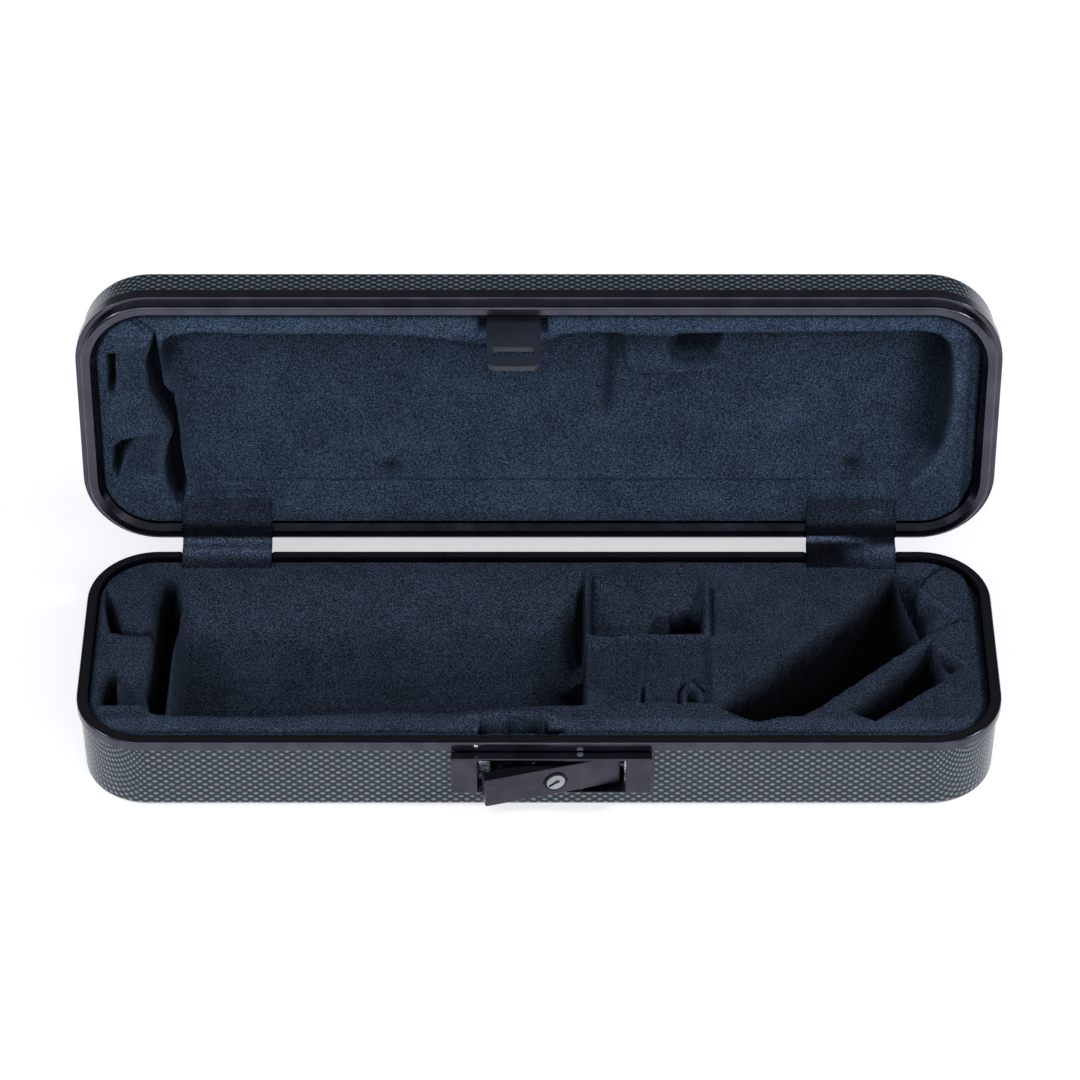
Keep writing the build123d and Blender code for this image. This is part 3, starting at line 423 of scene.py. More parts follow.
def sheet_coords(nodes, links, lid):
    """Where a point of the formed shell lay on the flat sheet, in millimetres from its middle."""
    coords = object_coords(nodes)
    if lid:
        turn = nodes.new("ShaderNodeVectorRotate")
        turn.rotation_type = "X_AXIS"
        turn.inputs["Center"].default_value = (0.0, HINGE_Y / 1000, HINGE_Z / 1000)
        turn.inputs["Angle"].default_value = OPEN
        links.new(coords, turn.inputs["Vector"])
        coords = turn.outputs["Vector"]
    split = nodes.new("ShaderNodeSeparateXYZ")
    links.new(coords, split.inputs["Vector"])
    x, y, z = (math_node(nodes, links, "MULTIPLY", o, 1000.0) for o in split.outputs)
    if lid:
        z = math_node(nodes, links, "SUBTRACT", LID_Z + LID_H, z)
    cx = clamp_to(nodes, links, x, STRAIGHT_X)
    cy = clamp_to(nodes, links, y, STRAIGHT_Y)
    dx = math_node(nodes, links, "SUBTRACT", x, cx)
    dy = math_node(nodes, links, "SUBTRACT", y, cy)
    squared = math_node(nodes, links, "ADD", math_node(nodes, links, "MULTIPLY", dx, dx),
                        math_node(nodes, links, "MULTIPLY", dy, dy))
    r = math_node(nodes, links, "MAXIMUM", math_node(nodes, links, "SQRT", squared), 0.001)
    climb = math_node(nodes, links, "MAXIMUM", z, 0.0)
    bend = math_node(nodes, links, "MINIMUM", climb, EDGE_R)
    turned = math_node(nodes, links, "ARCCOSINE",
                       math_node(nodes, links, "SUBTRACT", 1.0,
                                 math_node(nodes, links, "DIVIDE", bend, EDGE_R)))
    run = math_node(nodes, links, "ADD", math_node(nodes, links, "MULTIPLY", turned, EDGE_R),
                    math_node(nodes, links, "SUBTRACT", climb, bend))
    foot = CORNER_R - SHELL_IN - EDGE_R
    flat = math_node(nodes, links, "MINIMUM", r, foot)
    reach = math_node(nodes, links, "ADD", flat, run)
    k = math_node(nodes, links, "DIVIDE", reach, r)
    u = math_node(nodes, links, "ADD", cx, math_node(nodes, links, "MULTIPLY", dx, k))
    v = math_node(nodes, links, "ADD", cy, math_node(nodes, links, "MULTIPLY", dy, k))
    return u, v


def oval(nodes, links, u, v, shift):
    """Distance from the nearest float of the weave, 1 on its outline, and that float's number."""
    parts, ids = [], []
    for value, pitch, size in ((u, DOT_PITCH[0], DOT_SIZE[0]), (v, DOT_PITCH[1], DOT_SIZE[1])):
        place = math_node(nodes, links, "ADD",
                          math_node(nodes, links, "DIVIDE", value, pitch), shift)
        ids.append(math_node(nodes, links, "FLOOR", place))
        off = math_node(nodes, links, "SUBTRACT", math_node(nodes, links, "FRACT", place), 0.5)
        scaled = math_node(nodes, links, "MULTIPLY", off, 2 * pitch / size)
        parts.append(math_node(nodes, links, "MULTIPLY", scaled, scaled))
    distance = math_node(nodes, links, "SQRT", math_node(nodes, links, "ADD", *parts))
    number = math_node(nodes, links, "ADD", math_node(nodes, links, "MULTIPLY", ids[0], 7.31),
                       math_node(nodes, links, "MULTIPLY", ids[1], 3.77))
    return distance, math_node(nodes, links, "ADD", number, 50.0 * shift)


def woven_shell(name, lid):
    """Glossy moulded shell: a staggered weave of small bright floats, each tinted a little."""
    mat, nodes, links, shader = material(name)
    u, v = sheet_coords(nodes, links, lid)
    first, first_id = oval(nodes, links, u, v, 0.0)
    second, second_id = oval(nodes, links, u, v, 0.5)
    near = math_node(nodes, links, "MINIMUM", first, second)
    is_first = math_node(nodes, links, "LESS_THAN", first, second)
    number = math_node(nodes, links, "ADD",
                       math_node(nodes, links, "MULTIPLY", is_first, first_id),
                       math_node(nodes, links, "MULTIPLY",
                                 math_node(nodes, links, "SUBTRACT", 1.0, is_first), second_id))
    chance = nodes.new("ShaderNodeTexWhiteNoise")
    chance.noise_dimensions = "1D"
    links.new(number, chance.inputs["W"])
    tint = ramp(nodes, links, chance.outputs["Value"],
                [(0.0, (0.13, 0.22, 0.25)), (0.35, (0.18, 0.25, 0.29)), (0.7, (0.19, 0.24, 0.31)),
                 (1.0, (0.22, 0.23, 0.28))])
    dot = spread(nodes, links, near, 0.35, 1.25, 1.0, 0.0)
    coords = object_coords(nodes)
    blotch = noise(nodes, links, coords, 900, 2.0, 0.6)
    dot = math_node(nodes, links, "MULTIPLY", dot,
                    spread(nodes, links, blotch, 0.3, 0.7, 0.75, 1.1), clamp=True)
    links.new(mix(nodes, links, dot, SHELL_GROUND, tint), shader.inputs["Base Color"])
    cloud = noise(nodes, links, coords, 120, 3.0, 0.6)
    links.new(spread(nodes, links, cloud, 0.3, 0.7, 0.16, 0.26), shader.inputs["Roughness"])
    shader.inputs["Specular IOR Level"].default_value = 0.34
    weave = math_node(nodes, links, "MINIMUM", near, 1.3)
    links.new(bump(nodes, links, weave, 0.00010, 0.15), shader.inputs["Normal"])
    return mat


# One fabric in two tints: the lid's lighter, bluer tint is painted light, for the stronger light
# on its upright face.
velvet_tub = velvet("velvet_tub", (0.022, 0.031, 0.050))
velvet_lid = velvet("velvet_lid", (0.023, 0.036, 0.060))
shell_tub = woven_shell("woven_shell_tub", False)
shell_lid = woven_shell("woven_shell_lid", True)
rim_metal = coated_metal("rim_black", (0.060, 0.062, 0.080), 0.20)
latch_metal = coated_metal("latch_black", (0.049, 0.047, 0.063), 0.30, 0.7, 900)
black_gloss = coated_metal("gloss_black", (0.020, 0.019, 0.024), 0.18)
catch_black = coated_metal("catch_black", (0.018, 0.023, 0.036), 0.38, 0.5, 1000, 0.0)
hinge_metal = coated_metal("hinge_black", (0.060, 0.058, 0.068), 0.32)
chrome = coated_metal("bright_metal", (0.62, 0.63, 0.66), 0.14, 0.5)
lock_chrome = coated_metal("lock_metal", (0.30, 0.31, 0.33), 0.24, 1.0)
housing_metal = pressed_steel("housing_metal")
gasket_rubber = rubber("gasket_rubber", (0.006, 0.006, 0.008))

DRESS = {
    shell_tub: ["tub_shell"],
    shell_lid: ["lid_shell"],
    rim_metal: ["tub_rim", "lid_rim", "catch_block"],
    latch_metal: ["latch_plate", "latch_lever"],
    black_gloss: ["lock_bezel"],
    catch_black: ["lid_catch"],
    hinge_metal: ["hinge_leaf_lower_left", "hinge_leaf_lower_right", "hinge_leaf_upper_left",
                  "hinge_leaf_upper_right", "hinge_pin_left", "hinge_pin_right",
                  "hinge_rivets_lower", "hinge_rivets_upper"],
    chrome: ["latch_spring", "latch_hook", "latch_pivot_pin", "latch_rivets", "rim_rivet",
             "hook_rivets", "lock_cam", "cam_screw", "catch_screws"],
    lock_chrome: ["lock_plug"],
    housing_metal: ["latch_housing"],
    gasket_rubber: ["rim_gasket"],
}
for mat, names in DRESS.items():
    for name in names:
        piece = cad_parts[name]
        piece.data.materials.clear()
        piece.data.materials.append(mat)


# Tub lining: drop below the rim's mating face, in millimetres, and painted light and shade on the
# pile

# Inner edge of the front ledge along the bed
LEDGE_X = [-150, -139, -105, -60, -33.6, -7.2, 15.5, 30]
LEDGE_Y = [-35.1, -35.1, -35.6, -33.2, -33.4, -30.0, -29.4, -29.4]
BED_Y = [-25, -1.6, -0.6, 1.0, 3.1, 6.6, 12.6, 37.6, 43.6, 48.6, 56.6, 62.1, 65.6, 73, 79.5, 95]
BED_DROP = [0, 0.2, 1.5, 10, 15.5, 18.6, 19.4, 19.4, 17.6, 14, 8.0, 5.0, 3.4, 1.4, 0, 0]

LOW_PAD = [(17.2, -12), (16.9, -20), (22.5, -24.4), (30.7, -27.6), (41, -28.8), (66, -29.5),
           (66, 8.6), (39, 8.3), (28, 6.2), (20, 0.8)]
KEY_RECESS = [(18.6, 8.2), (28, 6.6), (39, 8.6), (63.2, 8.8), (63.6, 37), (60, 44), (19.2, 44)]
KEY_SHAFT = [(49.2, 9.4), (63.4, 9.0), (63.6, 26.6), (50.8, 25.6)]
TRENCH = [(-146.3, 41.5), (-141.0, 41.0), (-137.6, 28.0), (-138.2, 14.0), (-139.9, 0.0),
          (-140.3, -21.0), (-140.6, -36.0), (-147.0, -35.6), (-150.4, -22.0), (-149.2, -5.0),
          (-149.4, 10.0), (-149.6, 30.0)]
BACK_WEDGE = [(-168.6, 33.8), (-164.6, 27.0), (-161.6, 17.0), (-159.4, 8.8), (-164.4, 8.8),
              (-166.6, 15.0), (-168.8, 27.0)]
FRONT_SLOT = [(-166.6, -31.0), (-166.6, -20.0), (-164.6, -11.2), (-160.8, -10.6), (-158.9, -31.0)]
FRONT_DIP = [(-160.4, -31.0), (-148.5, -31.0), (-149.5, -14.0), (-161.0, -11.0)]
BELL = [(67.4, -30.6), (74, -35.6), (82.1, -39.6), (87, -38.4), (92.4, -36.3), (99.5, -36.4),
        (107, -31.0), (127.6, -12.2), (146.6, 4.8), (144.6, 12.0), (142.0, 25.0),
        (140.6, 35.0), (139.4, 43.6), (136.6, 42.6), (130, 34.6), (120.4, 22.2),
        (100.1, 2.6), (84.2, -13.8), (72.4, -24.2)]
BELL_CURTAIN = [(139.0, 44.0), (150.0, 41.0), (146.6, 31.0), (155.0, 23.6), (161.0, 15.4),
                (150.2, 9.0), (146.6, 5.4), (142.0, 25.0)]
SMALL_POCKET = [(116.4, -32.2), (121, -36.2), (126.9, -39.2), (154.6, -16.6), (152.8, -6.0),
                (150.6, 4.6)]
TAG = [(152.2, -1.0), (154.0, -9.5), (156.4, -14.2), (162.0, -10.0), (158.4, -5.5)]
CATCH_HOLE = [(-22.6, -45.5), (9.4, -45.5), (9.2, -43.4), (3.4, -42.6), (1.8, -37.8),
              (-7.5, -37.4), (-21.8, -38.4)]
CATCH_ROOM = ((-24.4, -46.8, 8.3), (9.9, -38.2, 30.2))    # catch, hook and cam behind the face
LOOP_HOLE = [(55.6, -29), (56.2, -20), (58.0, -18.6), (59.9, -21.5), (60.2, -29)]

# Places too deep and narrow for light to reach
BED_SLOT = [(17.6, 40), (14.0, 33.4), (12.2, 23.2), (14.6, 13.1), (18.2, 8.0), (18.2, 36)]
BED_PIT = [(18.2, 3.4), (13.9, 2.3), (7.6, -2.7), (9.8, -8.2), (16.5, -12.5), (18.2, -10.4)]
RECESS_FOOT = [(40.0, 10.5), (52.5, 10.5), (52.5, 24.0), (44.0, 24.5)]

# Folds and creases: height change (down is positive), half width, line
TUB_FOLDS = [
    (-1.9, 0.75, [(18.2, 6.0), (17.9, 26), (18.9, 42.6)]),
    (-1.6, 0.80, [(64.6, 7.5), (64.9, 24), (65.4, 36.5)]),
    (1.4, 0.80, [(66.8, 8.0), (67.1, 34)]),
    (1.2, 0.70, [(20.6, 9.0), (20.4, 26), (21.0, 40)]),
    (-1.2, 1.20, [(17.5, -15), (21, -21), (28, -25.3)]),
    (-1.1, 0.60, [(37.8, -28.5), (38.6, -17)]),
    (-1.1, 0.60, [(40.6, -28.5), (41.4, -17)]),
    (3.0, 0.70, [(39.3, -28.4), (39.6, -19)]),
    (-1.5, 0.80, [(54.6, -28.4), (54.7, -21.5), (56.4, -17.4), (58.6, -17.2), (61.0, -20.5),
                  (61.4, -27.5)]),
    (2.0, 0.90, [(53.2, -28.8), (53.4, -20), (56.0, -15.6), (59.4, -15.4), (62.4, -19.5)]),
    (1.3, 2.00, [(-160, 9.6), (-154, 8.6), (-148, 9.5)]),
    (-0.7, 1.40, [(-166, -32.6), (-152, -32.2), (-146, -36.5)]),
    (1.7, 0.70, [(157, 46), (150.8, 40.2), (146.6, 31), (146.0, 19.5), (148.4, 10.5)]),
    (-2.2, 1.10, [(147.4, 32.2), (155.2, 23.6), (162.4, 15.8)]),
    (0.9, 0.90, [(150.4, 8.8), (159.6, 15.0), (165.4, 15.8)]),
    (-1.0, 1.00, [(151.6, 3.6), (156.5, -3.0), (162.6, -8.6)]),
    (-0.9, 1.50, [(-29, -37.6), (-16, -36.0), (2, -35.2), (6, -37.5)]),
]


def tub_drop(X, Y):
    d = edge_distance(X, Y, RIM_W)
    back = smooth((Y - 30) / 12)
    drop = 1.7 - 1.0 * back + 1.8 * np.exp(-d / 0.6)
    drop += 0.22 * waves(X, Y, 3, 9.0)
    right = smooth((X - 161.0) / 7.0) * smooth((Y + 46) / 8) * smooth((44 - Y) / 10)
    drop += 3.4 * right * np.exp(-d / 2.8)

    # Strip of velvet behind the front rim, with a slit between it and the ledge
    slit_y = -44.7 + 0.25 * np.sin(X / 11) + 0.15 * waves(X, Y, 31, 6.0, 2)
    front_run = smooth((X + 151) / 6) * smooth((160 - X) / 6)
    slit = np.exp(-((Y - slit_y) / 0.75) ** 2) * front_run
    drop += slit * (2.6 + 0.9 * np.sin(X / 17 + 1) + 0.5 * waves(X, Y, 33, 3.0, 2))
    strip = smooth((slit_y - Y) / 0.8) * front_run
    drop -= 0.7 * strip

    along_bed = Y - np.interp(X, LEDGE_X, LEDGE_Y)
    lead = 1.2 * np.sin(X / 46.0 + 0.4) * smooth((Y - 5) / 10)
    bed = np.interp(along_bed + lead, BED_Y, BED_DROP)
    left_end = smooth((X + 139.5) / 3.0)
    right_end = smooth((18.4 - X) / 1.8)
    drop += bed * left_end * right_end
    pit = np.exp(-(((X - 12.0) / 6.0) ** 2 + ((Y + 5.0) / 8.0) ** 2))
    slot_pit = np.exp(-(((X - 14.5) / 3.6) ** 2 + ((Y - 19.0) / 9.0) ** 2))
    dimple = np.exp(-(((X + 33.0) / 5.0) ** 2 + ((Y - 17.5) / 2.2) ** 2))
    drop += (5.0 * pit + 9.0 * slot_pit + 1.3 * dimple) * right_end

    over = smooth(inside(X, Y, LOW_PAD) / 2.6 + 0.2)
    drop += over * (2.2 + 1.0 * smooth((X - 40) / 20))
    in_recess = smooth(inside(X, Y, KEY_RECESS) / 2.0 + 0.2)
    drop += in_recess * np.interp(Y, [-60, 8, 12, 20, 26, 31, 44, 60],
                                  [0, 9.5, 9.5, 8.2, 5.0, 3.4, 0.6, 0])
    shaft = well(X, Y, KEY_SHAFT, 20.5, 1.8) + 1.5
    drop = np.maximum(drop, shaft)
    drop += 7.0 * smooth(inside(X, Y, LOOP_HOLE) / 1.0)

    fuzz = 0.35 * waves(X, Y, 8, 2.2, 2)
    ragged = 0.25 * waves(X, Y, 21, 1.7, 2)
    wells = [
        well(X, Y, TRENCH, 19.5, 4.2, 0.5),
        well(X, Y, BACK_WEDGE, 14, 2.0) + 1.4,
        well(X, Y, FRONT_SLOT, 14, 2.2) + 1.4,
        well(X, Y, BELL, 27, 2.6, 0.9, fuzz),
        well(X, Y, SMALL_POCKET, 19.5, 2.4, 0.8, fuzz),
        well(X, Y, CATCH_HOLE, 26.0, 0.8, 0.6, 0.4 + 0.3 * ragged),
        1.9 + 6.0 * smooth(inside(X, Y, FRONT_DIP) / 4.5 + 0.1),
        1.9 + 5.5 * smooth(inside(X, Y, TAG) / 2.0 + 0.1),
    ]
    slope = 11.0 * smooth((151.0 - X + 0.22 * Y) / 12.0) + 2.0
    wells.append(1.9 + slope * smooth(inside(X, Y, BELL_CURTAIN) / 2.2 + 0.25))
    for deep in wells:
        drop = np.maximum(drop, deep)
    for change, width, line in TUB_FOLDS:
        drop += change * ridge(X, Y, line, width)
    scuff = smooth((X + 62) / 20) * smooth((110 - X) / 30) * smooth((-40.5 - Y) / 3.0)
    drop += 0.6 * np.abs(waves(X, Y * 3.0, 12, 5.0, 3)) * scuff

    # Painted shade: wells and the deep bed darkened, the slit behind the front rim painted dark
    # and the strip before it painted lit.
    painted_light_and_mottle = 1.0 - 0.96 * smooth((np.maximum.reduce(wells[:6] + [shaft]) - 4.0) / 9.0)
    painted_light_and_mottle *= 1.0 - 0.30 * smooth((drop - 9.0) / 9.0)
    painted_light_and_mottle *= 1.0 + 0.25 * strip - 0.8 * slit
    # Painted shade: the bed's slot and pit near black, the key recess's foot darker.
    for hidden, share in ((BED_SLOT, 0.97), (BED_PIT, 0.95), (RECESS_FOOT, 0.55)):
        painted_light_and_mottle *= 1.0 - share * smooth(inside(X, Y, hidden) / 2.4 + 0.35)
    # Painted shade on the low pad and key recess; painted light on the front ledge.
    painted_light_and_mottle *= 1.0 - 0.18 * np.maximum(over, in_recess * 0.5)
    painted_light_and_mottle *= 1.0 + 0.45 * smooth((-36.5 - Y) / 3.0) * smooth((Y + 44.6) / 1.0)
    # Painted shade in creases, painted light on ridges.
    for change, width, line in TUB_FOLDS:
        painted_light_and_mottle *= 1.0 - (0.75 if change > 0 else -0.45) * ridge(X, Y, line, width * 0.8)
    # Painted shade along the rim's edge except at the back; then random mottle.
    painted_light_and_mottle *= 1.0 - 0.8 * np.exp(-d / 0.5) * (1 - back)
    painted_light_and_mottle *= 1.0 + 0.10 * waves(X, Y, 41, 14.0)
    return np.clip(drop, 0.6, 30.5), np.clip(painted_light_and_mottle, 0.05, 1.6)


X, Y = lining_grid(RIM_W + TUB_LINING_GAP)
drop, painted_light_and_mottle = tub_drop(X, Y)
skirt = [(31.2, 0.2, False), (HOUSING_TOP, 0.2, True), (4.0, 0.9, True), (2.3, 2.2, False)]
tub_lining = lining_mesh("tub_lining", X, Y, TUB_H - drop, skirt, False, painted_light_and_mottle)
tub_lining.data.materials.append(velvet_tub)
carve(tub_lining, *CATCH_ROOM)
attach(tub_lining, "tub")
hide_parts("tub_insert_left", "tub_insert_middle", "tub_insert_right")


# Lid lining: depth behind the mating face, and painted light and shade on the pile

LID_HOLLOW = [(-140.6, -38.4), (-131, -40.2), (-108, -39.4), (-70, -39.2), (-49, -38.6),
              (-28, -35.8), (-20, -35.0), (1.6, -36.2), (9.4, -39.0), (17, -40), (48, -39.6),
              (104, -40.4), (146.6, -40.6), (152.4, -39.3), (157.0, -35.0), (158.9, -26.7),
              (159.3, -12.8), (158.3, 2.0), (156.3, 11.5), (152.0, 20.0), (147.0, 27.0),
              (142.0, 31.5), (-131.5, 31.5), (-136.0, 28.0), (-139.5, 12.0), (-139.9, -6.0),
              (-141.8, -14.5), (-144.6, -20.0), (-145.2, -30.0), (-143.6, -36.0)]
LID_TRENCH = [(-146.2, -41.0), (-148.8, -31.0), (-151.2, -24.0), (-149.9, -14.0), (-146.4, -4.0),
              (-143.2, 2.5), (-142.2, 8.0), (-144.2, 12.5), (-145.8, 21.7), (-144.8, 31.0),
              (-141.6, 38.4), (-138.8, 38.4), (-137.0, 30.0), (-138.6, 16.0), (-139.2, 0.0),
              (-140.4, -11.0), (-144.0, -16.5), (-145.2, -29.0)]
LID_POCKET_TOP = [(-165.4, -30.0), (-161.8, -30.6), (-162.2, -16.5), (-163.6, -12.6),
                  (-165.6, -13.8)]
LID_SHELF = [(-165.0, -30.6), (-155.6, -31.6), (-148.6, -34.6), (-149.4, -24.0), (-152.0, -14.0),
             (-160.5, -12.0)]
LID_POCKET_LOW = [(-165.2, 12.4), (-161.4, 9.2), (-156.0, 7.8), (-157.4, 12.0), (-160.4, 16.0),
                  (-163.6, 26.8), (-165.6, 21.0)]
LID_LEE = [(-161.4, 8.6), (-153.8, 7.2), (-145.4, 5.4), (-146.4, 20.0), (-147.5, 27.0),
           (-158.0, 27.0)]
KEY_BUMP = [(31.4, -39.5), (31.8, -24.0), (34.0, -18.8), (38.0, -16.9), (62.0, -18.2),
            (74.0, -19.4), (74.0, -23.0), (55.0, -22.4), (51.6, -24.6), (50.8, -32.0),
            (52.6, -39.5)]
BUMP_HOLE = [(52.0, -38.6), (51.6, -26.0), (54.6, -23.0), (68.0, -23.4), (71.0, -30.0),
             (70.0, -38.8)]
CATCH_BAY = [(-24.4, -50.0), (4.4, -50.0), (3.2, -40.8), (-22.8, -40.8)]
STRIP_MARK = [(-136.4, 35.2), (-107.0, 35.2), (-107.0, 46.0), (-136.6, 46.0)]

LID_FOLDS = [
    (0.15, 1.20, [(-131, 30.4), (-112, 28.6), (-80, 30.4), (68, 31.0), (106, 31.0), (122, 29.4)]),
    (-0.8, 2.40, [(158.9, -27), (160.9, -12), (160.2, 2), (158.0, 12), (152.5, 22), (146, 29)]),
    (-1.5, 0.70, [(-164.0, 26.6), (-160.8, 19.0), (-159.0, 13.5)]),
    (1.6, 0.60, [(-156.4, -47.2), (-153.0, -43.8), (-150.5, -41.4)]),
    (1.3, 0.50, [(-153.4, -46.4), (-149.6, -43.0), (-147.0, -40.6)]),
    (-0.8, 0.60, [(-154.8, -46.6), (-151.4, -42.8), (-148.6, -40.4)]),
    (-1.4, 0.90, [(33.0, -37.5), (35.6, -33), (35.8, -26.0), (36.6, -21)]),
    (-0.8, 1.10, [(3.8, -45), (5.4, -41), (3.4, -38.6)]),
    (0.5, 0.50, [(-136.4, 44), (-136.2, 35.4), (-107.2, 35.3), (-107.2, 44)]),
]


def lid_depth(X, Y):
    d = edge_distance(X, Y, LID_RING_W)
    depth = 2.0 + 1.8 * np.exp(-d / 0.7)
    depth += 0.22 * waves(X, Y, 5, 10.0)
    near = inside(X, Y, LID_HOLLOW)
    floor = np.interp(Y, [-60, -40, -30, -5, 15, 27, 31, 40, 45, 60],
                      [12.8, 12.8, 12.8, 12.2, 10.0, 7.4, 6.0, 2.2, 0.4, 0])
    floor += 1.4 * np.exp(-(((X - 122) / 9.0) ** 2 + ((Y - 24) / 7.0) ** 2))
    floor += 1.9 * np.exp(-(((X - 122) / 3.2) ** 2 + ((Y - 26.2) / 2.4) ** 2))
    floor += 1.6 * np.exp(-(((X + 57.5) / 4.0) ** 2 + ((Y - 26.0) / 2.6) ** 2))
    floor += 2.6 * smooth((X - 138) / 16) * smooth((20 - Y) / 20)
    edge = smooth(near / 3.4 + 0.12)
    lower = smooth((Y - 27.5) / 3.0) * smooth((146.0 - X) / 8.0) * smooth((X + 134.5) / 4.0)
    depth = depth + floor * np.maximum(edge, lower * smooth((45 - Y) / 8))
    right_roll = smooth((X - 163.0) / 4.0) * smooth((Y + 42) / 6)
    depth += 3.4 * right_roll

    pockets = [
        2.4 + 15.6 * smooth(inside(X, Y, LID_TRENCH) / 2.6 + 0.22),
        2.4 + 11.5 * smooth(inside(X, Y, LID_POCKET_TOP) / 1.3 + 0.25),
        2.4 + 11.5 * smooth(inside(X, Y, LID_POCKET_LOW) / 1.5 + 0.2),
        2.4 + 12.8 * smooth(inside(X, Y, CATCH_BAY) / 1.4 + 0.2),
        2.4 + 3.4 * smooth(inside(X, Y, LID_SHELF) / 3.5 + 0.1),
        2.4 + 4.2 * smooth(inside(X, Y, LID_LEE) / 4.0 + 0.1),
    ]
    for deep in pockets:
        depth = np.maximum(depth, deep)

    lift = smooth(inside(X, Y, KEY_BUMP) / 2.4 + 0.2)
    depth -= 8.0 * lift * smooth((78 - X) / 16) * smooth((-15.0 - Y) / 2.5)
    hole = smooth(inside(X, Y, BUMP_HOLE) / 2.5 + 0.1)
    depth += 3.6 * hole
    seam = along(X, Y, [(28.6, -31.0), (27.6, -18.0), (26.8, -6.0), (26.4, 5.0)])
    depth += 2.0 * np.exp(-((seam / 1.8) ** 2)) * smooth((8 - Y) / 12)
    mark = smooth(inside(X, Y, STRIP_MARK) / 0.8 + 0.5)
    depth += 0.35 * mark
    depth -= 1.5 * np.exp(-(((X - 130.6) / 5.6) ** 4 + ((Y - 40.6) / 3.6) ** 4))
    for change, width, line in LID_FOLDS:
        depth += change * ridge(X, Y, line, width)

    # Painted shade in the pockets; painted light on the hollow's front border.
    painted_light_and_mottle = 1.0 - 0.7 * smooth((np.maximum.reduce(pockets[:4]) - 5.0) / 7.0)
    painted_light_and_mottle *= 1.0 + 0.35 * smooth(-near / 1.5) * smooth((-36.0 - Y) / 3.0)
    # Painted shadow of the hollow's upper lip, fading down its floor.
    fading = np.exp(-(np.maximum(near, 0) / 11.0) ** 2)
    lip_shadow = smooth(near) * fading * smooth((-14.0 - Y) / 12.0)
    painted_light_and_mottle *= 1.0 - 0.52 * lip_shadow
    # Painted shadow of the right wall on the hollow's floor.
    right_wall_shadow = smooth(near) * smooth((X - 138.0) / 14.0) * smooth((22.0 - Y) / 10.0)
    painted_light_and_mottle *= 1.0 - 0.65 * right_wall_shadow
    # Painted shade in the hole beside the key bump and along the seam.
    painted_light_and_mottle *= 1.0 - 0.75 * hole
    painted_light_and_mottle *= 1.0 - 0.45 * np.exp(-((seam / 2.6) ** 2)) * smooth((8 - Y) / 12)
    # Painted shade in creases, painted light on ridges.
    for change, width, line in LID_FOLDS:
        share = min(0.7, change * 0.6) if change > 0 else -0.35
        painted_light_and_mottle *= 1.0 - share * ridge(X, Y, line, width * 0.8)
    # Painted shade in two dimples of the floor.
    for x, y, rx, ry in ((-57.5, 26.2, 4.6, 3.0), (122.0, 25.5, 4.6, 3.4)):
        painted_light_and_mottle *= 1.0 - 0.6 * np.exp(-(((X - x) / rx) ** 2 + ((Y - y) / ry) ** 2))
    # Painted shade along the ring's edge; then random mottle.
    painted_light_and_mottle *= 1.0 - 0.6 * np.exp(-d / 0.5)
    painted_light_and_mottle *= 1.0 + 0.10 * waves(X, Y, 43, 15.0)
    return np.clip(depth, 1.0, 20.5), np.clip(painted_light_and_mottle, 0.05, 1.6)


X, Y = lining_grid(LID_RING_W + LID_LINING_GAP)
depth, painted_light_and_mottle = lid_depth(X, Y)
skirt = [(LID_Z + 20.0, 0.3, False), (LID_Z + LID_H - WALL - 0.4, 2.4, False)]
lid_lining = lining_mesh("lid_lining", X, Y, LID_Z + depth, skirt, True, painted_light_and_mottle)
lid_lining.data.materials.append(velvet_lid)
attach(lid_lining, "lid")
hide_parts("lid_insert_left", "lid_insert_middle", "lid_insert_right")


# Hinge covers: one strip of velvet from the lid's lining over both rims into the tub's lining.
# Each path runs across the hinge as (y, z, painted light and shade), and each cover has several
# paths along x.

COVER_T = 0.75


def resample(points, count):
    pts = np.array(points, float)
    for _ in range(3):
        cut = [pts[0]]
        for a, b in zip(pts[:-1], pts[1:]):
            cut += [0.75 * a + 0.25 * b, 0.25 * a + 0.75 * b]
        cut.append(pts[-1])
        pts = np.array(cut)
    seg = np.r_[0, np.cumsum(np.hypot(*np.diff(pts[:, :2], axis=0).T))]
    at = np.linspace(0, seg[-1], count)
    return np.stack([np.interp(at, seg, pts[:, k]) for k in range(3)], -1), seg[-1]


def lid_side(y, w, painted_light_and_mottle):
    p = swing(np.array([[0.0, y, LID_Z + w]]))[0]
    return (p[1], p[2], painted_light_and_mottle)


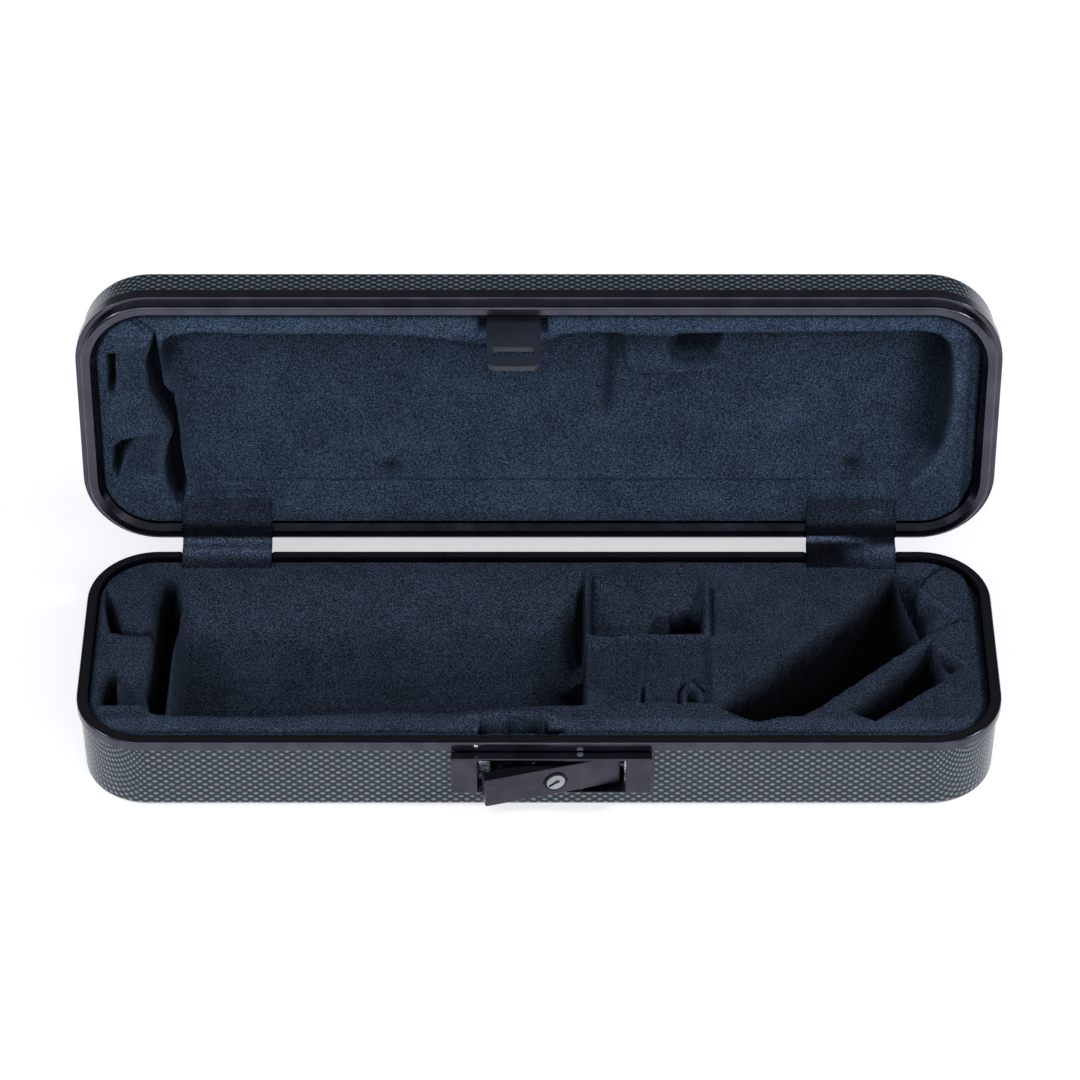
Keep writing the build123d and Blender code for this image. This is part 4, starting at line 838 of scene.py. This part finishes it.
def cover(name, side, stations, seed):
    rows, cols = 72, 48
    places = [x for x, _ in stations]
    lines = [resample(path, rows) for _, path in stations]
    xs = np.linspace(-COVER_W / 2, COVER_W / 2, cols)
    grid = np.zeros((rows, cols, 3))
    painted_light_and_mottle = np.zeros((rows, cols))
    for j, x in enumerate(xs):
        at = float(np.interp(x, places, range(len(places))))
        k = min(int(at), len(places) - 2)
        t = smooth(at - k)
        line = lines[k][0] * (1 - t) + lines[k + 1][0] * t
        grid[:, j, 0] = side * COVER_X + x
        grid[:, j, 1:] = line[:, :2]
        # The strip's painted light and shade, made darker towards its side edges.
        painted_light_and_mottle[:, j] = line[:, 2] * (0.55 + 0.45 * smooth((COVER_W / 2 - abs(x)) / 1.2))
    gx = grid[..., 0]
    s = np.linspace(0, 1, rows)[:, None]
    loose = np.sin(np.pi * np.clip((s - 0.40) / 0.42, 0, 1))
    ripple = 0.25 * waves(gx, s * 30 + 0 * gx, seed, 5.0, 2) * loose
    grid[..., 2] += ripple
    grid[..., 1] -= 0.5 * ripple
    normal = np.cross(np.gradient(grid, axis=1), np.gradient(grid, axis=0))
    normal /= np.linalg.norm(normal, axis=-1, keepdims=True) + 1e-9
    upper = grid + normal * COVER_T / 2
    lower = grid - normal * COVER_T / 2
    verts = np.concatenate([upper.reshape(-1, 3), lower.reshape(-1, 3)])
    base = rows * cols
    faces = []
    for i in range(rows - 1):
        for j in range(cols - 1):
            a = i * cols + j
            faces.append((a, a + 1, a + cols + 1, a + cols))
            faces.append((base + a, base + a + cols, base + a + cols + 1, base + a + 1))
    for i in range(rows - 1):
        a = i * cols
        faces.append((a, a + cols, base + a + cols, base + a))
        b = a + cols - 1
        faces.append((b, base + b, base + b + cols, b + cols))
    for j in range(cols - 1):
        faces.append((j, base + j, base + j + 1, j + 1))
        b = (rows - 1) * cols + j
        faces.append((b, b + 1, base + b + 1, base + b))
    obj = new_object(name, verts, faces, np.tile(painted_light_and_mottle.ravel(), 2))
    obj.data.materials.append(velvet_tub)
    word = "left" if side < 0 else "right"
    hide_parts(f"hinge_cover_lower_{word}", f"hinge_cover_upper_{word}")
    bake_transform(obj)
    return obj


# Third values are painted light and shade: dark on the lid's ring, bright on the bulges, near
# black where a strip dives under.
lid_part = [lid_side(36.5, 2.6, 0.7), lid_side(40.0, 2.2, 0.7), lid_side(44.0, 1.5, 0.8),
            lid_side(46.4, 0.55, 0.45), lid_side(48.0, 0.42, 0.14), lid_side(51.0, 0.42, 0.12),
            lid_side(52.6, 0.42, 0.14)]
tuck_in = [(48.0, 35.3, 0.6), (46.5, 34.6, 0.4), (45.4, 33.2, 0.3), (43.8, 32.4, 0.3)]
flat_left = lid_part + [(56.4, 38.2, 2.1), (55.0, 37.3, 1.4), (53.4, 36.8, 1.1),
                        (51.6, 37.1, 2.4), (49.8, 36.5, 1.4)] + tuck_in
flat_right = lid_part + [(56.4, 38.1, 2.0), (54.8, 37.1, 1.1), (53.0, 36.8, 1.3),
                         (51.2, 37.3, 2.4), (49.4, 36.5, 1.3)] + tuck_in
cover("hinge_cover_left", -1, [(-17.5, flat_left), (17.5, flat_right)], 4)

lobe = lid_part + [(56.0, 40.2, 1.4), (54.4, 41.6, 2.4), (53.3, 40.4, 1.9), (54.2, 38.5, 0.2),
                   (53.8, 37.0, 0.10), (51.4, 36.2, 0.08), (49.6, 36.0, 0.10), (48.4, 35.4, 0.10),
                   (47.2, 34.8, 0.15), (45.8, 33.4, 0.2), (44.0, 32.4, 0.2)]
small_lobe = lid_part + [(56.2, 39.0, 0.6), (55.0, 39.8, 1.2), (54.0, 39.0, 1.0),
                         (54.4, 37.8, 0.3), (53.2, 36.8, 0.4), (51.2, 36.8, 1.0),
                         (49.4, 36.4, 0.9)] + tuck_in
apron = lid_part + [(56.6, 38.2, 0.2), (55.4, 37.4, 0.25), (54.0, 37.2, 1.0), (52.6, 37.6, 1.9),
                    (51.2, 37.7, 2.0), (50.0, 37.3, 1.7), (48.8, 36.6, 1.3),
                    (47.2, 35.8, 0.9), (45.6, 34.8, 0.7), (44.8, 33.4, 0.4), (43.6, 32.4, 0.3)]
cover("hinge_cover_right", 1, [(-17.5, lobe), (-5.0, lobe), (2.5, small_lobe), (9.0, apron),
                               (17.5, apron)], 9)


# Studio

FLOOR_REACH = 4.0
FLOOR_GLOW = 0.52       # keeps the pale floor white where the case shades it

floor_mesh = bpy.data.meshes.new("studio_floor")
floor_mesh.from_pydata([(-FLOOR_REACH, -FLOOR_REACH, 0), (FLOOR_REACH, -FLOOR_REACH, 0),
                        (FLOOR_REACH, FLOOR_REACH, 0), (-FLOOR_REACH, FLOOR_REACH, 0)],
                       [], [(0, 1, 2, 3)])
floor = bpy.data.objects.new("studio_floor", floor_mesh)
floor.location.z = -0.0002
bpy.context.scene.collection.objects.link(floor)
floor_mat, _, _, floor_shader = material("studio_floor")
floor_shader.inputs["Base Color"].default_value = (0.86, 0.86, 0.87, 1.0)
floor_shader.inputs["Roughness"].default_value = 0.8
floor_shader.inputs["Specular IOR Level"].default_value = 0.2
floor_shader.inputs["Emission Color"].default_value = (1.0, 1.0, 1.0, 1.0)
floor_shader.inputs["Emission Strength"].default_value = FLOOR_GLOW
floor.data.materials.append(floor_mat)


def area_light(name, place, target, size, energy, colour=(1, 1, 1)):
    light = bpy.data.lights.new(name, "AREA")
    light.shape = "RECTANGLE"
    light.size, light.size_y = size
    light.energy = energy
    light.color = colour
    obj = bpy.data.objects.new(name, light)
    obj.location = place
    obj.rotation_euler = (Vector(target) - Vector(place)).to_track_quat("-Z", "Y").to_euler()
    bpy.context.scene.collection.objects.link(obj)
    return obj


SIDE_X, SIDE_Y, SIDE_Z = 1.63, -0.36, 1.41
SIDE_SIZE, SIDE_TINT = (0.45, 0.45), (0.95, 0.97, 1.0)

area_light("front", (0.0, -2.2, 1.75), (0, 0, 0.03), (4.0, 1.4), 47)
area_light("left", (-SIDE_X, SIDE_Y, SIDE_Z), (0, 0, 0.05), SIDE_SIZE, 12, SIDE_TINT)
area_light("right", (SIDE_X, SIDE_Y, SIDE_Z), (0, 0, 0.05), SIDE_SIZE, 17, SIDE_TINT)

world = bpy.data.worlds.new("studio")
world.use_nodes = True
world.node_tree.nodes["Background"].inputs["Color"].default_value = (0.86, 0.9, 1.0, 1.0)
world.node_tree.nodes["Background"].inputs["Strength"].default_value = 0.16
bpy.context.scene.world = world

# Camera at the photograph's viewing angle, solved from the outlines of tub and lid
TILT = radians(42.556)
DISTANCE = 1.6868
AIM_X, AIM_Y, AIM_Z = 0.00039, 0.05925, 0.0355
LENS, SENSOR = 143.07, 36.0
camera_data = bpy.data.cameras.new("camera")
camera_data.sensor_width = SENSOR
camera_data.lens = LENS
camera_data.clip_start = 0.05
camera_data.clip_end = 50.0
camera = bpy.data.objects.new("camera", camera_data)
camera.location = (AIM_X, AIM_Y - DISTANCE * cos(TILT), AIM_Z + DISTANCE * sin(TILT))
camera.rotation_euler = (radians(90) - TILT, 0, 0)
bpy.context.scene.collection.objects.link(camera)
bpy.context.scene.camera = camera
bpy.context.scene.view_settings.view_transform = "Standard"
